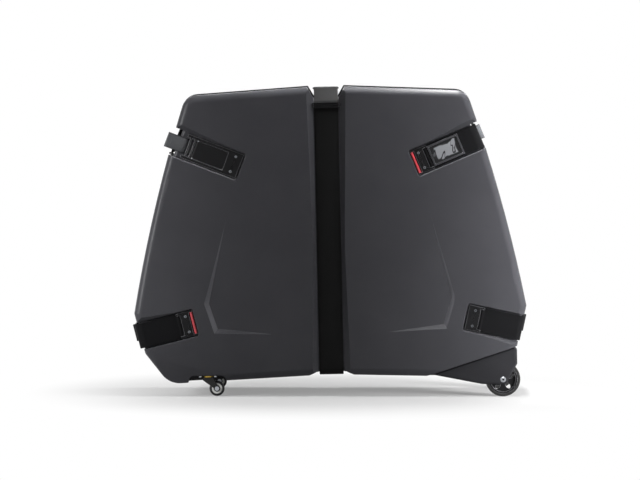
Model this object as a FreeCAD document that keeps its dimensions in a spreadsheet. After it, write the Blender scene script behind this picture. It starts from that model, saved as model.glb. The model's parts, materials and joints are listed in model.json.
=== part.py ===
"""Bike travel case: two moulded half shells that meet at the upright plane y = 0.

Millimetres, +Z up. X runs along the case, Y through its depth, and the front shell is on the -Y side.
The case is drawn upright and symmetric, and every piece is then leaned by case_lean, because the large
wheels on the right hold that end higher than the castors hold the left one.
"""
import FreeCAD
import Part
import Sketcher
import math
import os
from FreeCAD import Placement, Rotation, Vector

# Driving dimensions: name, value, meaning.
SIZES = [
    ("case_lean", 1.2, "how far the case leans on its wheels, degrees"),
    ("lean_height", 233, "height of the point about which the case leans"),
    ("half_depth", 190, "parting plane to the face of one shell"),
    ("apex_height", 982, "top of the outline at the middle"),
    ("shoulder_reach", 443, "top corner, out from the middle"),
    ("shoulder_height", 958, "top corner, height"),
    ("side_radius", 4850, "gentle curve of the two ends"),
    ("waist_reach", 620, "widest point, out from the middle"),
    ("waist_height", 275, "widest point, height"),
    ("hip_reach", 588, "upper end of the lower corner, out from the middle"),
    ("hip_height", 148, "upper end of the lower corner, height"),
    ("heel_reach", 514, "lower end of the lower corner, out from the middle"),
    ("heel_height", 50, "lower end of the lower corner, height"),
    ("belly_height", 70, "bottom of the outline at the middle"),
    ("shoulder_round", 48, "radius of the top corners"),
    ("waist_round", 14, "radius at the widest point"),
    ("hip_round", 20, "radius above the lower corner"),
    ("heel_round", 70, "radius of the lower corner"),
    ("front_round", 24, "radius where the face meets the sides"),
    ("wall", 3, "wall of the shells"),
    ("half_gap", 1.5, "parting plane to the face of a rim"),
    ("rim_flange", 3, "rim thickness over the shell's edge"),
    ("rim_proud", 4, "rim thickness outside the shell"),
    ("rim_band", 14, "parting plane to the end of the rim's outer band"),
    ("tongue_gap", 0.8, "play between the rear rim's tongue and the front shell"),
    ("tongue_wall", 2.5, "thickness of the rear rim's tongue"),
    ("tongue_reach", 12, "how far the tongue reaches into the front shell"),
    ("seal_half", 2, "half width of the rim seal"),
    ("seal_play", 0.3, "gap between the seal and the front rim"),
    ("liner_thick", 20, "thickness of the foam liners"),
    ("liner_margin", 1, "liner edge to the rounding of the shell's face"),
    ("liner_play", 1.2, "liner to the backs of the recesses"),
    ("seat_play", 0.3, "play where one piece seats on another"),
    ("strap_width", 76, "width of the centre strap"),
    ("strap_thick", 3, "thickness of the centre strap"),
    ("groove_half", 41, "half width of the strap groove's floor"),
    ("groove_depth", 16, "depth of the strap groove in the face"),
    ("groove_top_half", 64, "half width of the groove's mouth at the top"),
    ("groove_mid_half", 50, "half width of the groove's mouth at its waist"),
    ("groove_low_half", 62, "half width of the groove's mouth at the bottom"),
    ("groove_mid_height", 470, "height of the groove's waist"),
    ("notch_top_half", 62, "half width of the notch over the top"),
    ("notch_top_depth", 37, "depth of the notch over the top"),
    ("notch_low_half", 66, "half width of the notch under the bottom"),
    ("notch_low_floor", 47, "half width of the floor of the notch under the bottom"),
    ("notch_low_depth", 9, "depth of the notch under the bottom"),
    ("ramp_run", 30, "groove ramp at the top front edge, along the depth"),
    ("ramp_rise", 14, "groove ramp at the top front edge, height"),
    ("ramp_ease", 6, "easing of the groove ramp's outer edge under the strap"),
    ("low_ramp", 12, "groove ramp at the bottom front edge"),
    ("handle_rise", 28, "strap over the floor of the top notch"),
    ("strap_bend", 9, "inner radius of the centre strap's bends"),
    ("sleeve_half", 58, "half length of the handle sleeve"),
    ("sleeve_wall", 3, "wall of the handle sleeve"),
    ("sleeve_play", 0.4, "play of the strap in the sleeve and in the keeper"),
    ("keeper_half", 26, "half length of the strap keeper under the case"),
    ("keeper_wall", 2, "wall of the strap keeper"),
    ("adjuster_width", 90, "width of the slide buckle on the centre strap"),
    ("adjuster_height", 18, "height of the slide buckle"),
    ("adjuster_thick", 6, "thickness of the slide buckle"),
    ("adjuster_drop", 52, "top of the outline to the slide buckle's upper edge"),
    ("adjuster_bar", 4, "width of the slide buckle's bars"),
    ("adjuster_round", 1.2, "edge radius of the slide buckle"),
    ("upper_reach", 272, "inner end of an upper recess, out from the middle"),
    ("upper_drop", 251, "top of the outline to the inner end of an upper recess"),
    ("upper_rise", 22, "upper recesses climb outwards by this angle"),
    ("upper_run", 213, "length of an upper recess"),
    ("lower_reach", 426, "inner end of a lower recess, out from the middle"),
    ("lower_height", 245, "inner end of a lower recess, height"),
    ("lower_fall", 13.2, "lower recesses fall outwards by this angle"),
    ("lower_run", 176, "length of a lower recess"),
    ("recess_half", 44, "half width of a recess"),
    ("recess_depth", 16, "depth of a recess in the face"),
    ("recess_corner", 12, "radius where a recess turns round the end"),
    ("recess_round", 7, "radius of the inner corners of a recess"),
    ("mouth_ease", 2.2, "chamfer round the mouth of a recess"),
    ("flare_start", 30, "inner end of a recess to the start of its leaning flank"),
    ("flare_width", 14, "leaning flank's width at the end of a recess"),
    ("flare_back", 4.8, "leaning flank to the back of its wall, along the depth"),
    ("plate_half", 39, "half width of the latch plates and levers"),
    ("plate_inset", 6, "inner end of a recess to its base plate"),
    ("plate_height", 10, "height of a base plate over the recess floor"),
    ("plate_floor", 1.6, "floor of a base plate under its release tab"),
    ("guide_inset", 2, "inner end of a recess to the release tab's guides"),
    ("tab_inset", 3, "inner end of a recess to the release tab"),
    ("tab_length", 8, "length of the release tab along its travel"),
    ("tab_half", 34.5, "half width of the release tab"),
    ("tab_crown", 5, "crown radius of the release tab"),
    ("tab_travel", 4, "travel of the release tab"),
    ("tab_play", 0.4, "play round the release tab"),
    ("pin_place", 50, "inner end of a recess to the hinge pin"),
    ("pin_depth", 9, "face to the hinge pin's axis"),
    ("pin_radius", 3, "radius of a hinge pin"),
    ("pin_short", 0.2, "end of a hinge pin to the side of its plate"),
    ("pin_play", 0.06, "running play on the hinge pins"),
    ("lug_radius", 6, "radius of the lugs and barrels round a hinge pin"),
    ("lug_width", 6, "width of a hinge lug"),
    ("lug_play", 0.5, "play between a lug and a barrel"),
    ("screw_place", 27, "inner end of a recess to the plate screws"),
    ("screw_spread", 25, "plate screws to the recess's middle line"),
    ("screw_radius", 2, "radius of a plate screw's shank"),
    ("screw_play", 0.1, "play of a plate screw in its hole"),
    ("screw_head", 4.2, "radius of a plate screw's head"),
    ("screw_rise", 1.6, "height of a plate screw's head"),
    ("screw_dome", 1, "edge radius of a plate screw's head"),
    ("lever_depth", 6, "face to the outside of a lever"),
    ("lever_thick", 6, "thickness of a lever"),
    ("lever_clear", 9, "end of a recess to the inside of a lever"),
    ("lever_bend", 20, "inner radius of a lever's bend"),
    ("lever_lap", 35, "lever tip past the parting plane"),
    ("pull_rise", 11, "height of the pull on a lower lever"),
    ("pull_start", 110, "face to the start of the pull"),
    ("pull_length", 58, "length of the pull"),
    ("pull_ramp", 20, "length of the pull's rise to its ridge"),
    ("pull_ridge", 15, "length of the pull's ridge"),
    ("pull_half", 27, "half width of the pull"),
    ("pull_shift", 8, "pull to the lever's middle line"),
    ("anchor_thick", 4, "thickness of a plain strap"),
    ("anchor_clear", 4.4, "end of a recess to the inside of a plain strap"),
    ("anchor_bend", 15, "inner radius of a plain strap's bend"),
    ("anchor_end", 3, "end of a plain strap to the parting plane"),
    ("webbing_half", 24, "half width of the adjustable webbing"),
    ("webbing_thick", 2.6, "thickness of the adjustable webbing"),
    ("webbing_clear", 4.6, "end of a recess to the inside of the webbing"),
    ("webbing_bend", 14, "inner radius of the webbing's bend"),
    ("webbing_rise", 1, "webbing over the underside of the ladder frame"),
    ("webbing_start", 10, "inner end of the buckle lever to the webbing's end"),
    ("tail_run", 12, "length of the webbing tail's first rise"),
    ("tail_lift", 5, "height of the webbing tail's first rise"),
    ("tail_rise", 9, "height of the webbing tail's free end"),
    ("tail_bend", 8, "inner radius of the webbing tail's bend"),
    ("tail_reach", 39, "webbing tail past the end of its recess"),
    ("frame_rail", 9, "width of a ladder frame's rails"),
    ("frame_end", 22, "ladder frame's outer end to the end of the recess"),
    ("bar_width", 5, "width of a ladder bar"),
    ("bar_outer", 35, "outer ladder bar to the end of the recess"),
    ("bar_inner", 49, "inner ladder bar to the end of the recess"),
    ("cover_start", 53, "inner end of a recess to the buckle lever"),
    ("cover_half", 27.5, "half width of the buckle lever"),
    ("cover_thick", 5.6, "thickness of the buckle lever"),
    ("cover_pin_place", 58, "buckle lever's pin to the end of the recess"),
    ("cover_pin_radius", 1.6, "radius of the buckle lever's pin"),
    ("cover_round", 9, "corner radius of the buckle lever"),
    ("card_start", 58, "inner end of a recess to the card holder"),
    ("card_length", 104, "length of the card holder"),
    ("card_half", 34, "half width of the card holder"),
    ("card_border", 6, "border of the card holder"),
    ("card_rise", 3.4, "height of the card holder over its lever"),
    ("card_round", 1.4, "edge radius of the card holder"),
    ("window_thick", 1.2, "thickness of the card window"),
    ("panel_tip_reach", 322, "sunk panel's upper tip, out from the middle"),
    ("panel_tip_height", 574, "sunk panel's upper tip, height"),
    ("panel_bend_reach", 398, "sunk panel's outer corner, out from the middle"),
    ("panel_bend_height", 303, "sunk panel's outer corner, height"),
    ("panel_foot_reach", 368, "sunk panel's lower corner, out from the middle"),
    ("panel_foot_height", 208, "sunk panel's lower corner, height"),
    ("panel_end_reach", 185, "sunk panel's inner end, out from the middle"),
    ("panel_end_height", 202, "sunk panel's inner end, height"),
    ("panel_depth", 10, "depth of the sunk panel at its outer corner"),
    ("panel_slope", 58, "lean of the sunk panel's sides, degrees"),
    ("crease_hip_reach", 581, "corner facet's crease, outer end, out from the middle"),
    ("crease_hip_height", 146, "corner facet's crease, outer end, height"),
    ("crease_toe_reach", 315, "corner facet's crease, inner end, out from the middle"),
    ("crease_toe_height", 75, "corner facet's crease, inner end, height"),
    ("facet_reach", 110, "corner facet, across"),
    ("facet_drop", 30, "corner facet, depth at its far edge"),
    ("castor_place", 392, "castor's swivel axis, out from the middle"),
    ("castor_depth", 146, "parting plane to the castor's swivel axis"),
    ("castor_trail", 28, "swivel axis to the castor's axle"),
    ("castor_radius", 24, "radius of a castor wheel"),
    ("castor_width", 20, "width of a castor wheel"),
    ("castor_crown", 6, "radius of a castor wheel's tread edges"),
    ("castor_dish", 3, "depth of the dish in a castor wheel's sides"),
    ("castor_hub", 10, "radius of a castor wheel's boss"),
    ("castor_lip", 17, "radius at which a castor wheel's dish ends"),
    ("castor_play", 1, "castor wheel to its fork"),
    ("castor_axle", 4, "radius of a castor axle"),
    ("castor_axle_head", 6.8, "radius of a castor axle's heads"),
    ("castor_axle_rise", 2.8, "height of a castor axle's heads"),
    ("pocket_ceiling", 76, "height of the castor pocket's ceiling"),
    ("pocket_inner", 332, "castor pocket's inner end, out from the middle"),
    ("pocket_outer", 454, "castor pocket's outer end, out from the middle"),
    ("pocket_back", 84, "parting plane to the castor pocket's back"),
    ("pocket_round", 22, "radius of the castor pocket's upper corners"),
    ("castor_plate_half", 33, "half length of a castor's top plate"),
    ("castor_plate_side", 26, "half width of a castor's top plate"),
    ("castor_plate_thick", 3, "thickness of a castor's top plate"),
    ("race_radius", 17, "radius of a castor's race"),
    ("race_height", 5, "height of a castor's race"),
    ("king_radius", 4, "radius of a castor's king pin"),
    ("king_head", 7.2, "radius of the king pin's head"),
    ("fork_half", 16, "half length of a castor fork's crown"),
    ("fork_eye", 8, "radius of a castor fork's eyes round the axle"),
    ("fork_wall", 3, "wall of a castor fork"),
    ("bolt_head", 5, "radius of the castor plate bolts' heads"),
    ("bolt_rise", 4, "height of the castor plate bolts' heads"),
    ("bolt_place", 24, "castor plate bolts to the swivel axis, along"),
    ("bolt_side", 17, "castor plate bolts to the swivel axis, across"),
    ("wheel_place", 545, "large wheel's axle, out from the middle, as it stands"),
    ("wheel_depth", 158, "parting plane to the large wheel's middle"),
    ("wheel_radius", 55, "radius of a large wheel"),
    ("wheel_width", 30, "width of a large wheel"),
    ("tyre_thick", 9, "thickness of a large wheel's tyre"),
    ("wheel_play", 3, "large wheel to its housing"),
    ("axle_radius", 5, "radius of a large wheel's axle"),
    ("axle_play", 0.06, "running play on the axles"),
    ("axle_head", 9, "radius of the axle screw's head"),
    ("axle_head_rise", 4, "height of the axle screw's head"),
    ("axle_head_flat", 5.4, "radius of the flat on the axle screw's head"),
    ("axle_head_edge", 1.6, "height of the axle screw's head at its edge"),
    ("boss_radius", 13, "radius of a large wheel's boss"),
    ("hub_web", 12, "width of a large wheel's spokes"),
    ("hub_rim", 6, "thickness of a large wheel's rim under its tyre"),
    ("leaf_count", 5, "number of openings between the spokes"),
    ("leaf_half", 6.5, "half width of an opening between the spokes"),
    ("leaf_margin", 1.5, "opening between the spokes to the boss and to the rim"),
    ("housing_toe_reach", 318, "wheel housing's inner tip, out from the middle"),
    ("housing_toe_height", 63, "wheel housing's inner tip, height"),
    ("housing_hip_reach", 579, "wheel housing's upper corner, out from the middle"),
    ("housing_hip_height", 144, "wheel housing's upper corner, height"),
    ("housing_low_lead", 67, "wheel's axis back to the housing's lowest point before it"),
    ("housing_low_height", 30, "wheel housing's lowest point before the wheel, height"),
    ("housing_edge_height", 92, "wheel housing's lower end at the outside, height"),
    ("cheek_radius", 17, "radius of a housing's cheeks under the axle"),
    ("housing_wall", 10, "cheeks of the wheel housing"),
    ("housing_joint", 1.2, "joint between a shell and its wheel housing"),
    ("housing_round", 8, "edge radius of the wheel housing"),
]

# Spare lengths of the cutting shapes, and the limits used to tell edges apart.
ROOM = 60.0
LONG = 1200.0
OVER = 2.0
CORNER_SEARCH = 30.0
LEAST_ROUND = 1.0
MOUTH_SLOPE = 45.0
NEAR = 1e-3
NOTHING = 1e-6


class Dim:
    """A length that remembers the spreadsheet formula it came from."""

    def __init__(self, value, text):
        self.value = float(value)
        self.text = text

    def join(self, other, sign, turned=False):
        other = as_dim(other)
        first, second = (other, self) if turned else (self, other)
        results = {
            "+": first.value + second.value,
            "-": first.value - second.value,
            "*": first.value * second.value,
        }
        return Dim(results[sign], f"({first.text} {sign} {second.text})")

    def __add__(self, other):
        return self.join(other, "+")

    def __radd__(self, other):
        return self.join(other, "+", turned=True)

    def __sub__(self, other):
        return self.join(other, "-")

    def __rsub__(self, other):
        return self.join(other, "-", turned=True)

    def __mul__(self, other):
        return self.join(other, "*")

    def __rmul__(self, other):
        return self.join(other, "*", turned=True)

    def __neg__(self):
        return Dim(-self.value, f"(-1 * {self.text})")


def as_dim(number):
    return number if isinstance(number, Dim) else Dim(number, f"({float(number)!r})")


doc = FreeCAD.newDocument("bike_travel_case")
sheet = doc.addObject("Spreadsheet::Sheet", "dims")
for row, (alias, value, meaning) in enumerate(SIZES, start=1):
    sheet.set(f"A{row}", meaning)
    sheet.set(f"B{row}", str(value))
    sheet.setAlias(f"B{row}", alias)
doc.recompute()


class Sizes:
    """The spreadsheet's cells as named lengths."""


size = Sizes()
for alias, value, meaning in SIZES:
    setattr(size, alias, Dim(getattr(sheet, alias), f"dims.{alias}"))


def bind(item, name, length):
    """Set one property and tie it to the spreadsheet."""
    length = as_dim(length)
    setattr(item, name, length.value)
    item.setExpression(name, length.text)


def hold(sketch, kind, geometry, end, length):
    """Hold one end of a line at a distance from the sketch's origin."""
    length = as_dim(length)
    if abs(length.value) < NOTHING:
        axis = -2 if kind == "DistanceX" else -1
        sketch.addConstraint(Sketcher.Constraint("PointOnObject", geometry, end, axis))
        return
    if length.value > 0:
        place = Sketcher.Constraint(kind, -1, 1, geometry, end, length.value)
    else:
        length = -length
        place = Sketcher.Constraint(kind, geometry, end, -1, 1, length.value)
    number = sketch.addConstraint(place)
    sketch.setExpression(f"Constraints[{number}]", length.text)


def draw_round(sketch, x, y, radius):
    """Add a circle to a sketch."""
    x, y, radius = as_dim(x), as_dim(y), as_dim(radius)
    middle = Vector(x.value, y.value, 0)
    circle = sketch.addGeometry(Part.Circle(middle, Vector(0, 0, 1), radius.value), False)
    hold(sketch, "DistanceX", circle, 3, x)
    hold(sketch, "DistanceY", circle, 3, y)
    number = sketch.addConstraint(Sketcher.Constraint("Radius", circle, radius.value))
    sketch.setExpression(f"Constraints[{number}]", radius.text)


def arc_between(start, finish, radius, side):
    """The short arc between two points; side 1 bulges to the left of the way, -1 to the right."""
    chord = finish - start
    half = chord.Length / 2
    rise = math.sqrt(max(radius ** 2 - half ** 2, 0.0))
    left = Vector(-chord.y, chord.x, 0) / chord.Length
    centre = (start + finish) / 2 - left * (rise * side)
    first, last = (finish, start) if side > 0 else (start, finish)
    begin = math.atan2(first.y - centre.y, first.x - centre.x)
    end = math.atan2(last.y - centre.y, last.x - centre.x)
    if end < begin:
        end += 2 * math.pi
    return Part.ArcOfCircle(Part.Circle(centre, Vector(0, 0, 1), radius), begin, end)


def draw_loop(sketch, path):
    """Add a closed path. A point is (x, y), or (x, y, radius, side) where an arc leads to it."""
    corners = [Vector(as_dim(point[0]).value, as_dim(point[1]).value, 0) for point in path]
    ends = []
    for index, start in enumerate(corners):
        following = (index + 1) % len(path)
        target = path[following]
        if len(target) == 2:
            number = sketch.addGeometry(Part.LineSegment(start, corners[following]), False)
            ends.append((number, 1, 2))
            continue
        radius = as_dim(target[2])
        arc = arc_between(start, corners[following], radius.value, target[3])
        number = sketch.addGeometry(arc, False)
        ends.append((number, 2, 1) if target[3] > 0 else (number, 1, 2))
        limit = sketch.addConstraint(Sketcher.Constraint("Radius", number, radius.value))
        sketch.setExpression(f"Constraints[{limit}]", radius.text)
    for index, (number, begin, end) in enumerate(ends):
        following, follow_begin, _ = ends[(index + 1) % len(ends)]
        sketch.addConstraint(Sketcher.Constraint("Coincident", number, end, following, follow_begin))
        hold(sketch, "DistanceX", number, begin, path[index][0])
        hold(sketch, "DistanceY", number, begin, path[index][1])


def draw(name, place, loops=(), circles=()):
    """A sketch of closed paths and circles on a plane."""
    sketch = doc.addObject("Sketcher::SketchObject", name)
    sketch.Placement = place
    for path in loops:
        draw_loop(sketch, path)
    for circle in circles:
        draw_round(sketch, *circle)
    return sketch


def extrude(name, sketch, length, both_ways=False):
    """A prism on a sketch, along the sketch's normal."""
    prism = doc.addObject("Part::Extrusion", name)
    prism.Base = sketch
    prism.DirMode = "Normal"
    prism.Solid = True
    prism.Symmetric = both_ways
    bind(prism, "LengthFwd", length)
    return prism


def fuse(name, pieces):
    joined = doc.addObject("Part::MultiFuse", name)
    joined.Shapes = pieces
    return joined


def cut(name, base, tools):
    """Take one or more tools away from a base."""
    result = doc.addObject("Part::Cut", name)
    result.Base = base
    result.Tool = tools[0] if len(tools) == 1 else fuse(f"{name}_tools", tools)
    return result


def overlap(name, first, second):
    result = doc.addObject("Part::Common", name)
    result.Base = first
    result.Tool = second
    return result


def placed(name, source, place):
    """A copy of a piece at another place."""
    copy = doc.addObject("Part::Compound", name)
    copy.Links = [source]
    copy.Placement = place
    return copy


def round_edges(name, base, radius, chosen):
    """Round the edges of a base for which chosen(edge) gives True."""
    doc.recompute()
    fillet = doc.addObject("Part::Fillet", name)
    fillet.Base = base
    radius = as_dim(radius).value
    fillet.Edges = [(number, radius, radius)
                    for number, edge in enumerate(base.Shape.Edges, start=1) if chosen(edge)]
    return fillet


def on_front(depth):
    """A plane that faces the viewer: x to the right, y up, normal towards -Y."""
    return Placement(Vector(0, -as_dim(depth).value, 0), Rotation(Vector(1, 0, 0), 90))


def on_side():
    """The plane x = 0: x of the sketch along +Y, y of the sketch up, normal towards +X."""
    return Placement(Vector(), Rotation(Vector(0, 1, 0), Vector(0, 0, 1), Vector(1, 0, 0), "XYZ"))


def on_level(height):
    return Placement(Vector(0, 0, as_dim(height).value), Rotation())


def bearing(start, finish):
    """Unit vector from one sketch point to another, as numbers."""
    across = as_dim(finish[0]).value - as_dim(start[0]).value
    along = as_dim(finish[1]).value - as_dim(start[1]).value
    span = math.hypot(across, along)
    return across / span, along / span


def shifted_line(points, bends, offset):
    """A bent line moved to its left by offset, each bend an arc about the same centre as the first line's."""
    ways = [bearing(points[i], points[i + 1]) for i in range(len(points) - 1)]
    first, last = ways[0], ways[-1]
    path = [(points[0][0] - first[1] * offset, points[0][1] + first[0] * offset)]
    for index in range(1, len(points) - 1):
        before, after = ways[index - 1], ways[index]
        turn = math.atan2(before[0] * after[1] - before[1] * after[0],
                          before[0] * after[0] + before[1] * after[1])
        miter = 1 / (1 + before[0] * after[0] + before[1] * after[1])
        corner_x = points[index][0] - (before[1] + after[1]) * miter * offset
        corner_y = points[index][1] + (before[0] + after[0]) * miter * offset
        side = -1 if turn > 0 else 1
        radius = as_dim(bends[index - 1]) + side * offset
        reach = math.tan(abs(turn) / 2) * radius
        path.append((corner_x - before[0] * reach, corner_y - before[1] * reach))
        path.append((corner_x + after[0] * reach, corner_y + after[1] * reach, radius, side))
    path.append((points[-1][0] - last[1] * offset, points[-1][1] + last[0] * offset))
    return path


def ribbon(points, bends, thick):
    """Closed path of a band whose right face follows the points and whose thickness lies to their left."""
    near = shifted_line(points, bends, as_dim(0))
    far = shifted_line(points, bends, as_dim(thick))
    back = []
    for index in range(len(far) - 1, -1, -1):
        arrives = far[index + 1] if index + 1 < len(far) else ()
        if len(arrives) == 4:
            back.append((far[index][0], far[index][1], arrives[2], -arrives[3]))
        else:
            back.append((far[index][0], far[index][1]))
    return near + back


# The shell's outline, its block and the cuts that shape it.
def case_outline():
    """Half outline from the top middle to the bottom middle, mirrored."""
    right = [
        (size.shoulder_reach, size.shoulder_height),
        (size.waist_reach, size.waist_height, size.side_radius, 1),
        (size.hip_reach, size.hip_height),
        (size.heel_reach, size.heel_height),
    ]
    left = [
        (-size.heel_reach, size.heel_height),
        (-size.hip_reach, size.hip_height),
        (-size.waist_reach, size.waist_height),
        (-size.shoulder_reach, size.shoulder_height, size.side_radius, 1),
    ]
    return [(as_dim(0), size.apex_height)] + right + [(as_dim(0), size.belly_height)] + left


CORNERS = [
    (size.shoulder_reach, size.shoulder_height, size.shoulder_round),
    (size.waist_reach, size.waist_height, size.waist_round),
    (size.hip_reach, size.hip_height, size.hip_round),
    (size.heel_reach, size.heel_height, size.heel_round),
]


def outline_block(name, near, far, grow=0):
    """The outline, grown all round, as a prism between two depths in front of the parting plane."""
    base = draw(f"{name}_outline", on_front(near), [case_outline()])
    if as_dim(grow).value:
        wider = doc.addObject("Part::Offset2D", f"{name}_grown")
        wider.Source = base
        wider.Join = "Intersection"
        bind(wider, "Value", grow)
        base = wider
    body = extrude(f"{name}_prism", base, far - near)
    body.DirMode = "Custom"
    body.Dir = Vector(0, -1, 0)
    doc.recompute()
    fillet = doc.addObject("Part::Fillet", name)
    fillet.Base = body
    chosen = []
    for number, edge in enumerate(body.Shape.Edges, start=1):
        first, last = edge.Vertexes[0].Point, edge.Vertexes[-1].Point
        if math.hypot(first.x - last.x, first.z - last.z) > NEAR:
            continue
        for reach, height, radius in CORNERS:
            if math.hypot(abs(first.x) - reach.value, first.z - height.value) < CORNER_SEARCH:
                rounding = max((radius + grow).value, LEAST_ROUND)
                chosen.append((number, rounding, rounding))
    fillet.Edges = chosen
    return fillet


def closure_frame(level, side):
    """Place of a recess: x along it outwards, y out of the face, z across it."""
    upper = level == "upper"
    reach = size.upper_reach if upper else size.lower_reach
    height = size.apex_height - size.upper_drop if upper else size.lower_height
    tilt = math.radians(size.upper_rise.value if upper else -size.lower_fall.value)
    along = Vector(side * math.cos(tilt), 0, math.sin(tilt))
    outward = Vector(0, -1, 0)
    across = along.cross(outward)
    turn = Rotation(along, outward, across, "XYZ")
    return Placement(Vector(side * reach.value, -size.half_depth.value, height.value), turn)


RUNS = {"upper": size.upper_run, "lower": size.lower_run}
CLOSURES = [(level, side) for level in ("upper", "lower") for side in (-1, 1)]


def corner_name(level, side):
    return f"{level}_{'left' if side < 0 else 'right'}"


def recess(name, level, side, grow):
    """Channel of one closure: along the face, round the end and back to the parting plane."""
    run = RUNS[level]
    floor = -(size.recess_depth + grow)
    end = run - grow
    corner = size.recess_corner - grow
    path = [
        (-as_dim(grow), as_dim(ROOM)),
        (-as_dim(grow), floor),
        (end - corner, floor),
        (end, floor - corner, corner, 1),
        (end, -(size.half_depth + ROOM)),
        (run + 2 * ROOM, -(size.half_depth + ROOM)),
        (run + 2 * ROOM, as_dim(ROOM)),
    ]
    place = closure_frame(level, side)
    channel = extrude(f"{name}_channel", draw(f"{name}_line", place, [path]),
                      2 * (size.recess_half + grow), both_ways=True)
    inner = -as_dim(grow).value

    def at_inner_corner(edge):
        spots = [place.inverse().multVec(vertex.Point) for vertex in edge.Vertexes]
        level_ends = abs(spots[0].z - spots[-1].z) < NEAR
        return level_ends and all(abs(spot.x - inner) < NEAR for spot in spots)

    return round_edges(name, channel, size.recess_round + grow, at_inner_corner)


def recess_mouth(name, level, side):
    """Chamfer round the mouth of a recess in the face, wider at the face than below it."""
    wide = size.mouth_ease + OVER
    half, bend = size.recess_half + wide, size.recess_round + wide
    start, end = -wide, RUNS[level] + ROOM
    path = [(start + bend, -half, bend, -1), (end, -half), (end, half), (start + bend, half),
            (start, half - bend, bend, -1), (start, bend - half)]
    above = Placement(Vector(0, OVER, 0), Rotation(Vector(1, 0, 0), 90))
    sketch = draw(f"{name}_line", closure_frame(level, side).multiply(above), [path])
    mouth = extrude(name, sketch, OVER + 2 * size.mouth_ease)
    mouth.TaperAngle = -MOUTH_SLOPE
    return mouth


FLARE_SIDES = {("upper", -1): 1, ("upper", 1): -1, ("lower", -1): 1, ("lower", 1): 1}


def flare(name, level, side, sink, grow):
    """Wedge above the plane that leans one flank back, more and more towards the end of the case."""
    flank = FLARE_SIDES[level, side]
    run, half, depth, start = RUNS[level], size.recess_half, size.recess_depth, size.flare_start
    end = run + ROOM
    place = closure_frame(level, side)
    wide = size.flare_width.value * (end - start).value / (run - start).value
    tip = Vector(start.value, 0, flank * half.value)
    edge = Vector(end.value, 0, flank * (half.value + wide)) - tip
    foot = Vector(end.value, -depth.value, flank * half.value) - tip
    outward = foot.cross(edge) * -flank
    turn = Rotation(outward.cross(edge), outward, edge, "XYZ")
    slope = place.multiply(Placement(tip - Vector(0, as_dim(sink).value, 0), turn))
    reach = as_dim(ROOM)
    square = [(-reach, as_dim(0)), (reach, as_dim(0)), (reach, reach), (-reach, reach)]
    above = extrude(f"{name}_above", draw(f"{name}_slope", slope, [square]), LONG, both_ways=True)
    low = half - OVER if flank > 0 else -(half + 2 * size.flare_width + grow)
    level_plane = place.multiply(Placement(Vector(0, 0, low.value), Rotation()))
    beside = [(start - grow, -(depth + OVER + grow)), (end, -(depth + OVER + grow)), (end, as_dim(OVER)),
              (start - grow, as_dim(OVER))]
    limits = extrude(f"{name}_limits", draw(f"{name}_line", level_plane, [beside]),
                     2 * size.flare_width + OVER + grow)
    return overlap(name, above, limits)


def notch(name, height, depth, half, floor_half, up, grow):
    """Strap notch over the top (up 1) or under the bottom (up -1), through the whole depth."""
    slope = (half.value - floor_half.value) / depth.value
    floor = height - up * (depth + grow)
    rim = height + up * ROOM
    wide = half + slope * ROOM + grow
    narrow = floor_half + grow
    path = [(-wide, rim), (wide, rim), (narrow, floor), (-narrow, floor)]
    sketch = draw(f"{name}_line", on_front(-as_dim(ROOM)), [path])
    return extrude(name, sketch, size.half_depth + 2 * ROOM)


def edge_cuts(name, grow):
    """The cuts that reach the parting plane."""
    tools = [recess(f"{name}_{corner_name(*corner)}", *corner, grow) for corner in CLOSURES]
    top = notch(f"{name}_top", size.apex_height, size.notch_top_depth, size.notch_top_half,
                size.groove_half, 1, grow)
    low = notch(f"{name}_low", size.belly_height, size.notch_low_depth, size.notch_low_half,
                size.notch_low_floor, -1, grow)
    return tools + [top, low]


def groove(name, grow):
    """Strap groove in the face, drawn in at its waist, with a ramp at each end."""
    floor = -(size.half_depth - size.groove_depth - grow)
    narrow = size.groove_half + grow
    sections = []
    stations = [
        (size.belly_height - ROOM, size.groove_low_half),
        (size.groove_mid_height, size.groove_mid_half),
        (size.apex_height + ROOM, size.groove_top_half),
    ]
    for number, (height, half) in enumerate(stations):
        slope = (half.value - size.groove_half.value) / size.groove_depth.value
        wide = half + slope * OVER + grow
        mouth = -(size.half_depth + OVER)
        path = [(-narrow, floor), (narrow, floor), (wide, mouth), (-wide, mouth)]
        sections.append(draw(f"{name}_section_{number}", on_level(height), [path]))
    channel = doc.addObject("Part::Loft", f"{name}_channel")
    channel.Sections = sections
    channel.Solid = True
    channel.Ruled = True
    top = size.apex_height - size.notch_top_depth - grow
    low = size.belly_height + size.notch_low_depth + grow
    foot, crest = top - size.ramp_rise, floor + size.ramp_run
    eased = size.ramp_ease * (size.ramp_rise.value / size.ramp_run.value)
    ramps = [
        [(floor - OVER, foot - size.ramp_ease), (floor - OVER, top + OVER), (crest, top + OVER), (crest, top),
         (floor + size.ramp_ease, foot + eased), (floor, foot - size.ramp_ease)],
        [(floor - OVER, low + size.low_ramp), (floor, low + size.low_ramp), (floor + size.low_ramp, low),
         (floor + size.low_ramp, low - OVER), (floor - OVER, low - OVER)],
    ]
    pieces = [channel]
    for number, path in enumerate(ramps):
        sketch = draw(f"{name}_ramp_line_{number}", on_side(), [path])
        pieces.append(extrude(f"{name}_ramp_{number}", sketch, 2 * narrow, both_ways=True))
    return fuse(name, pieces)


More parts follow.
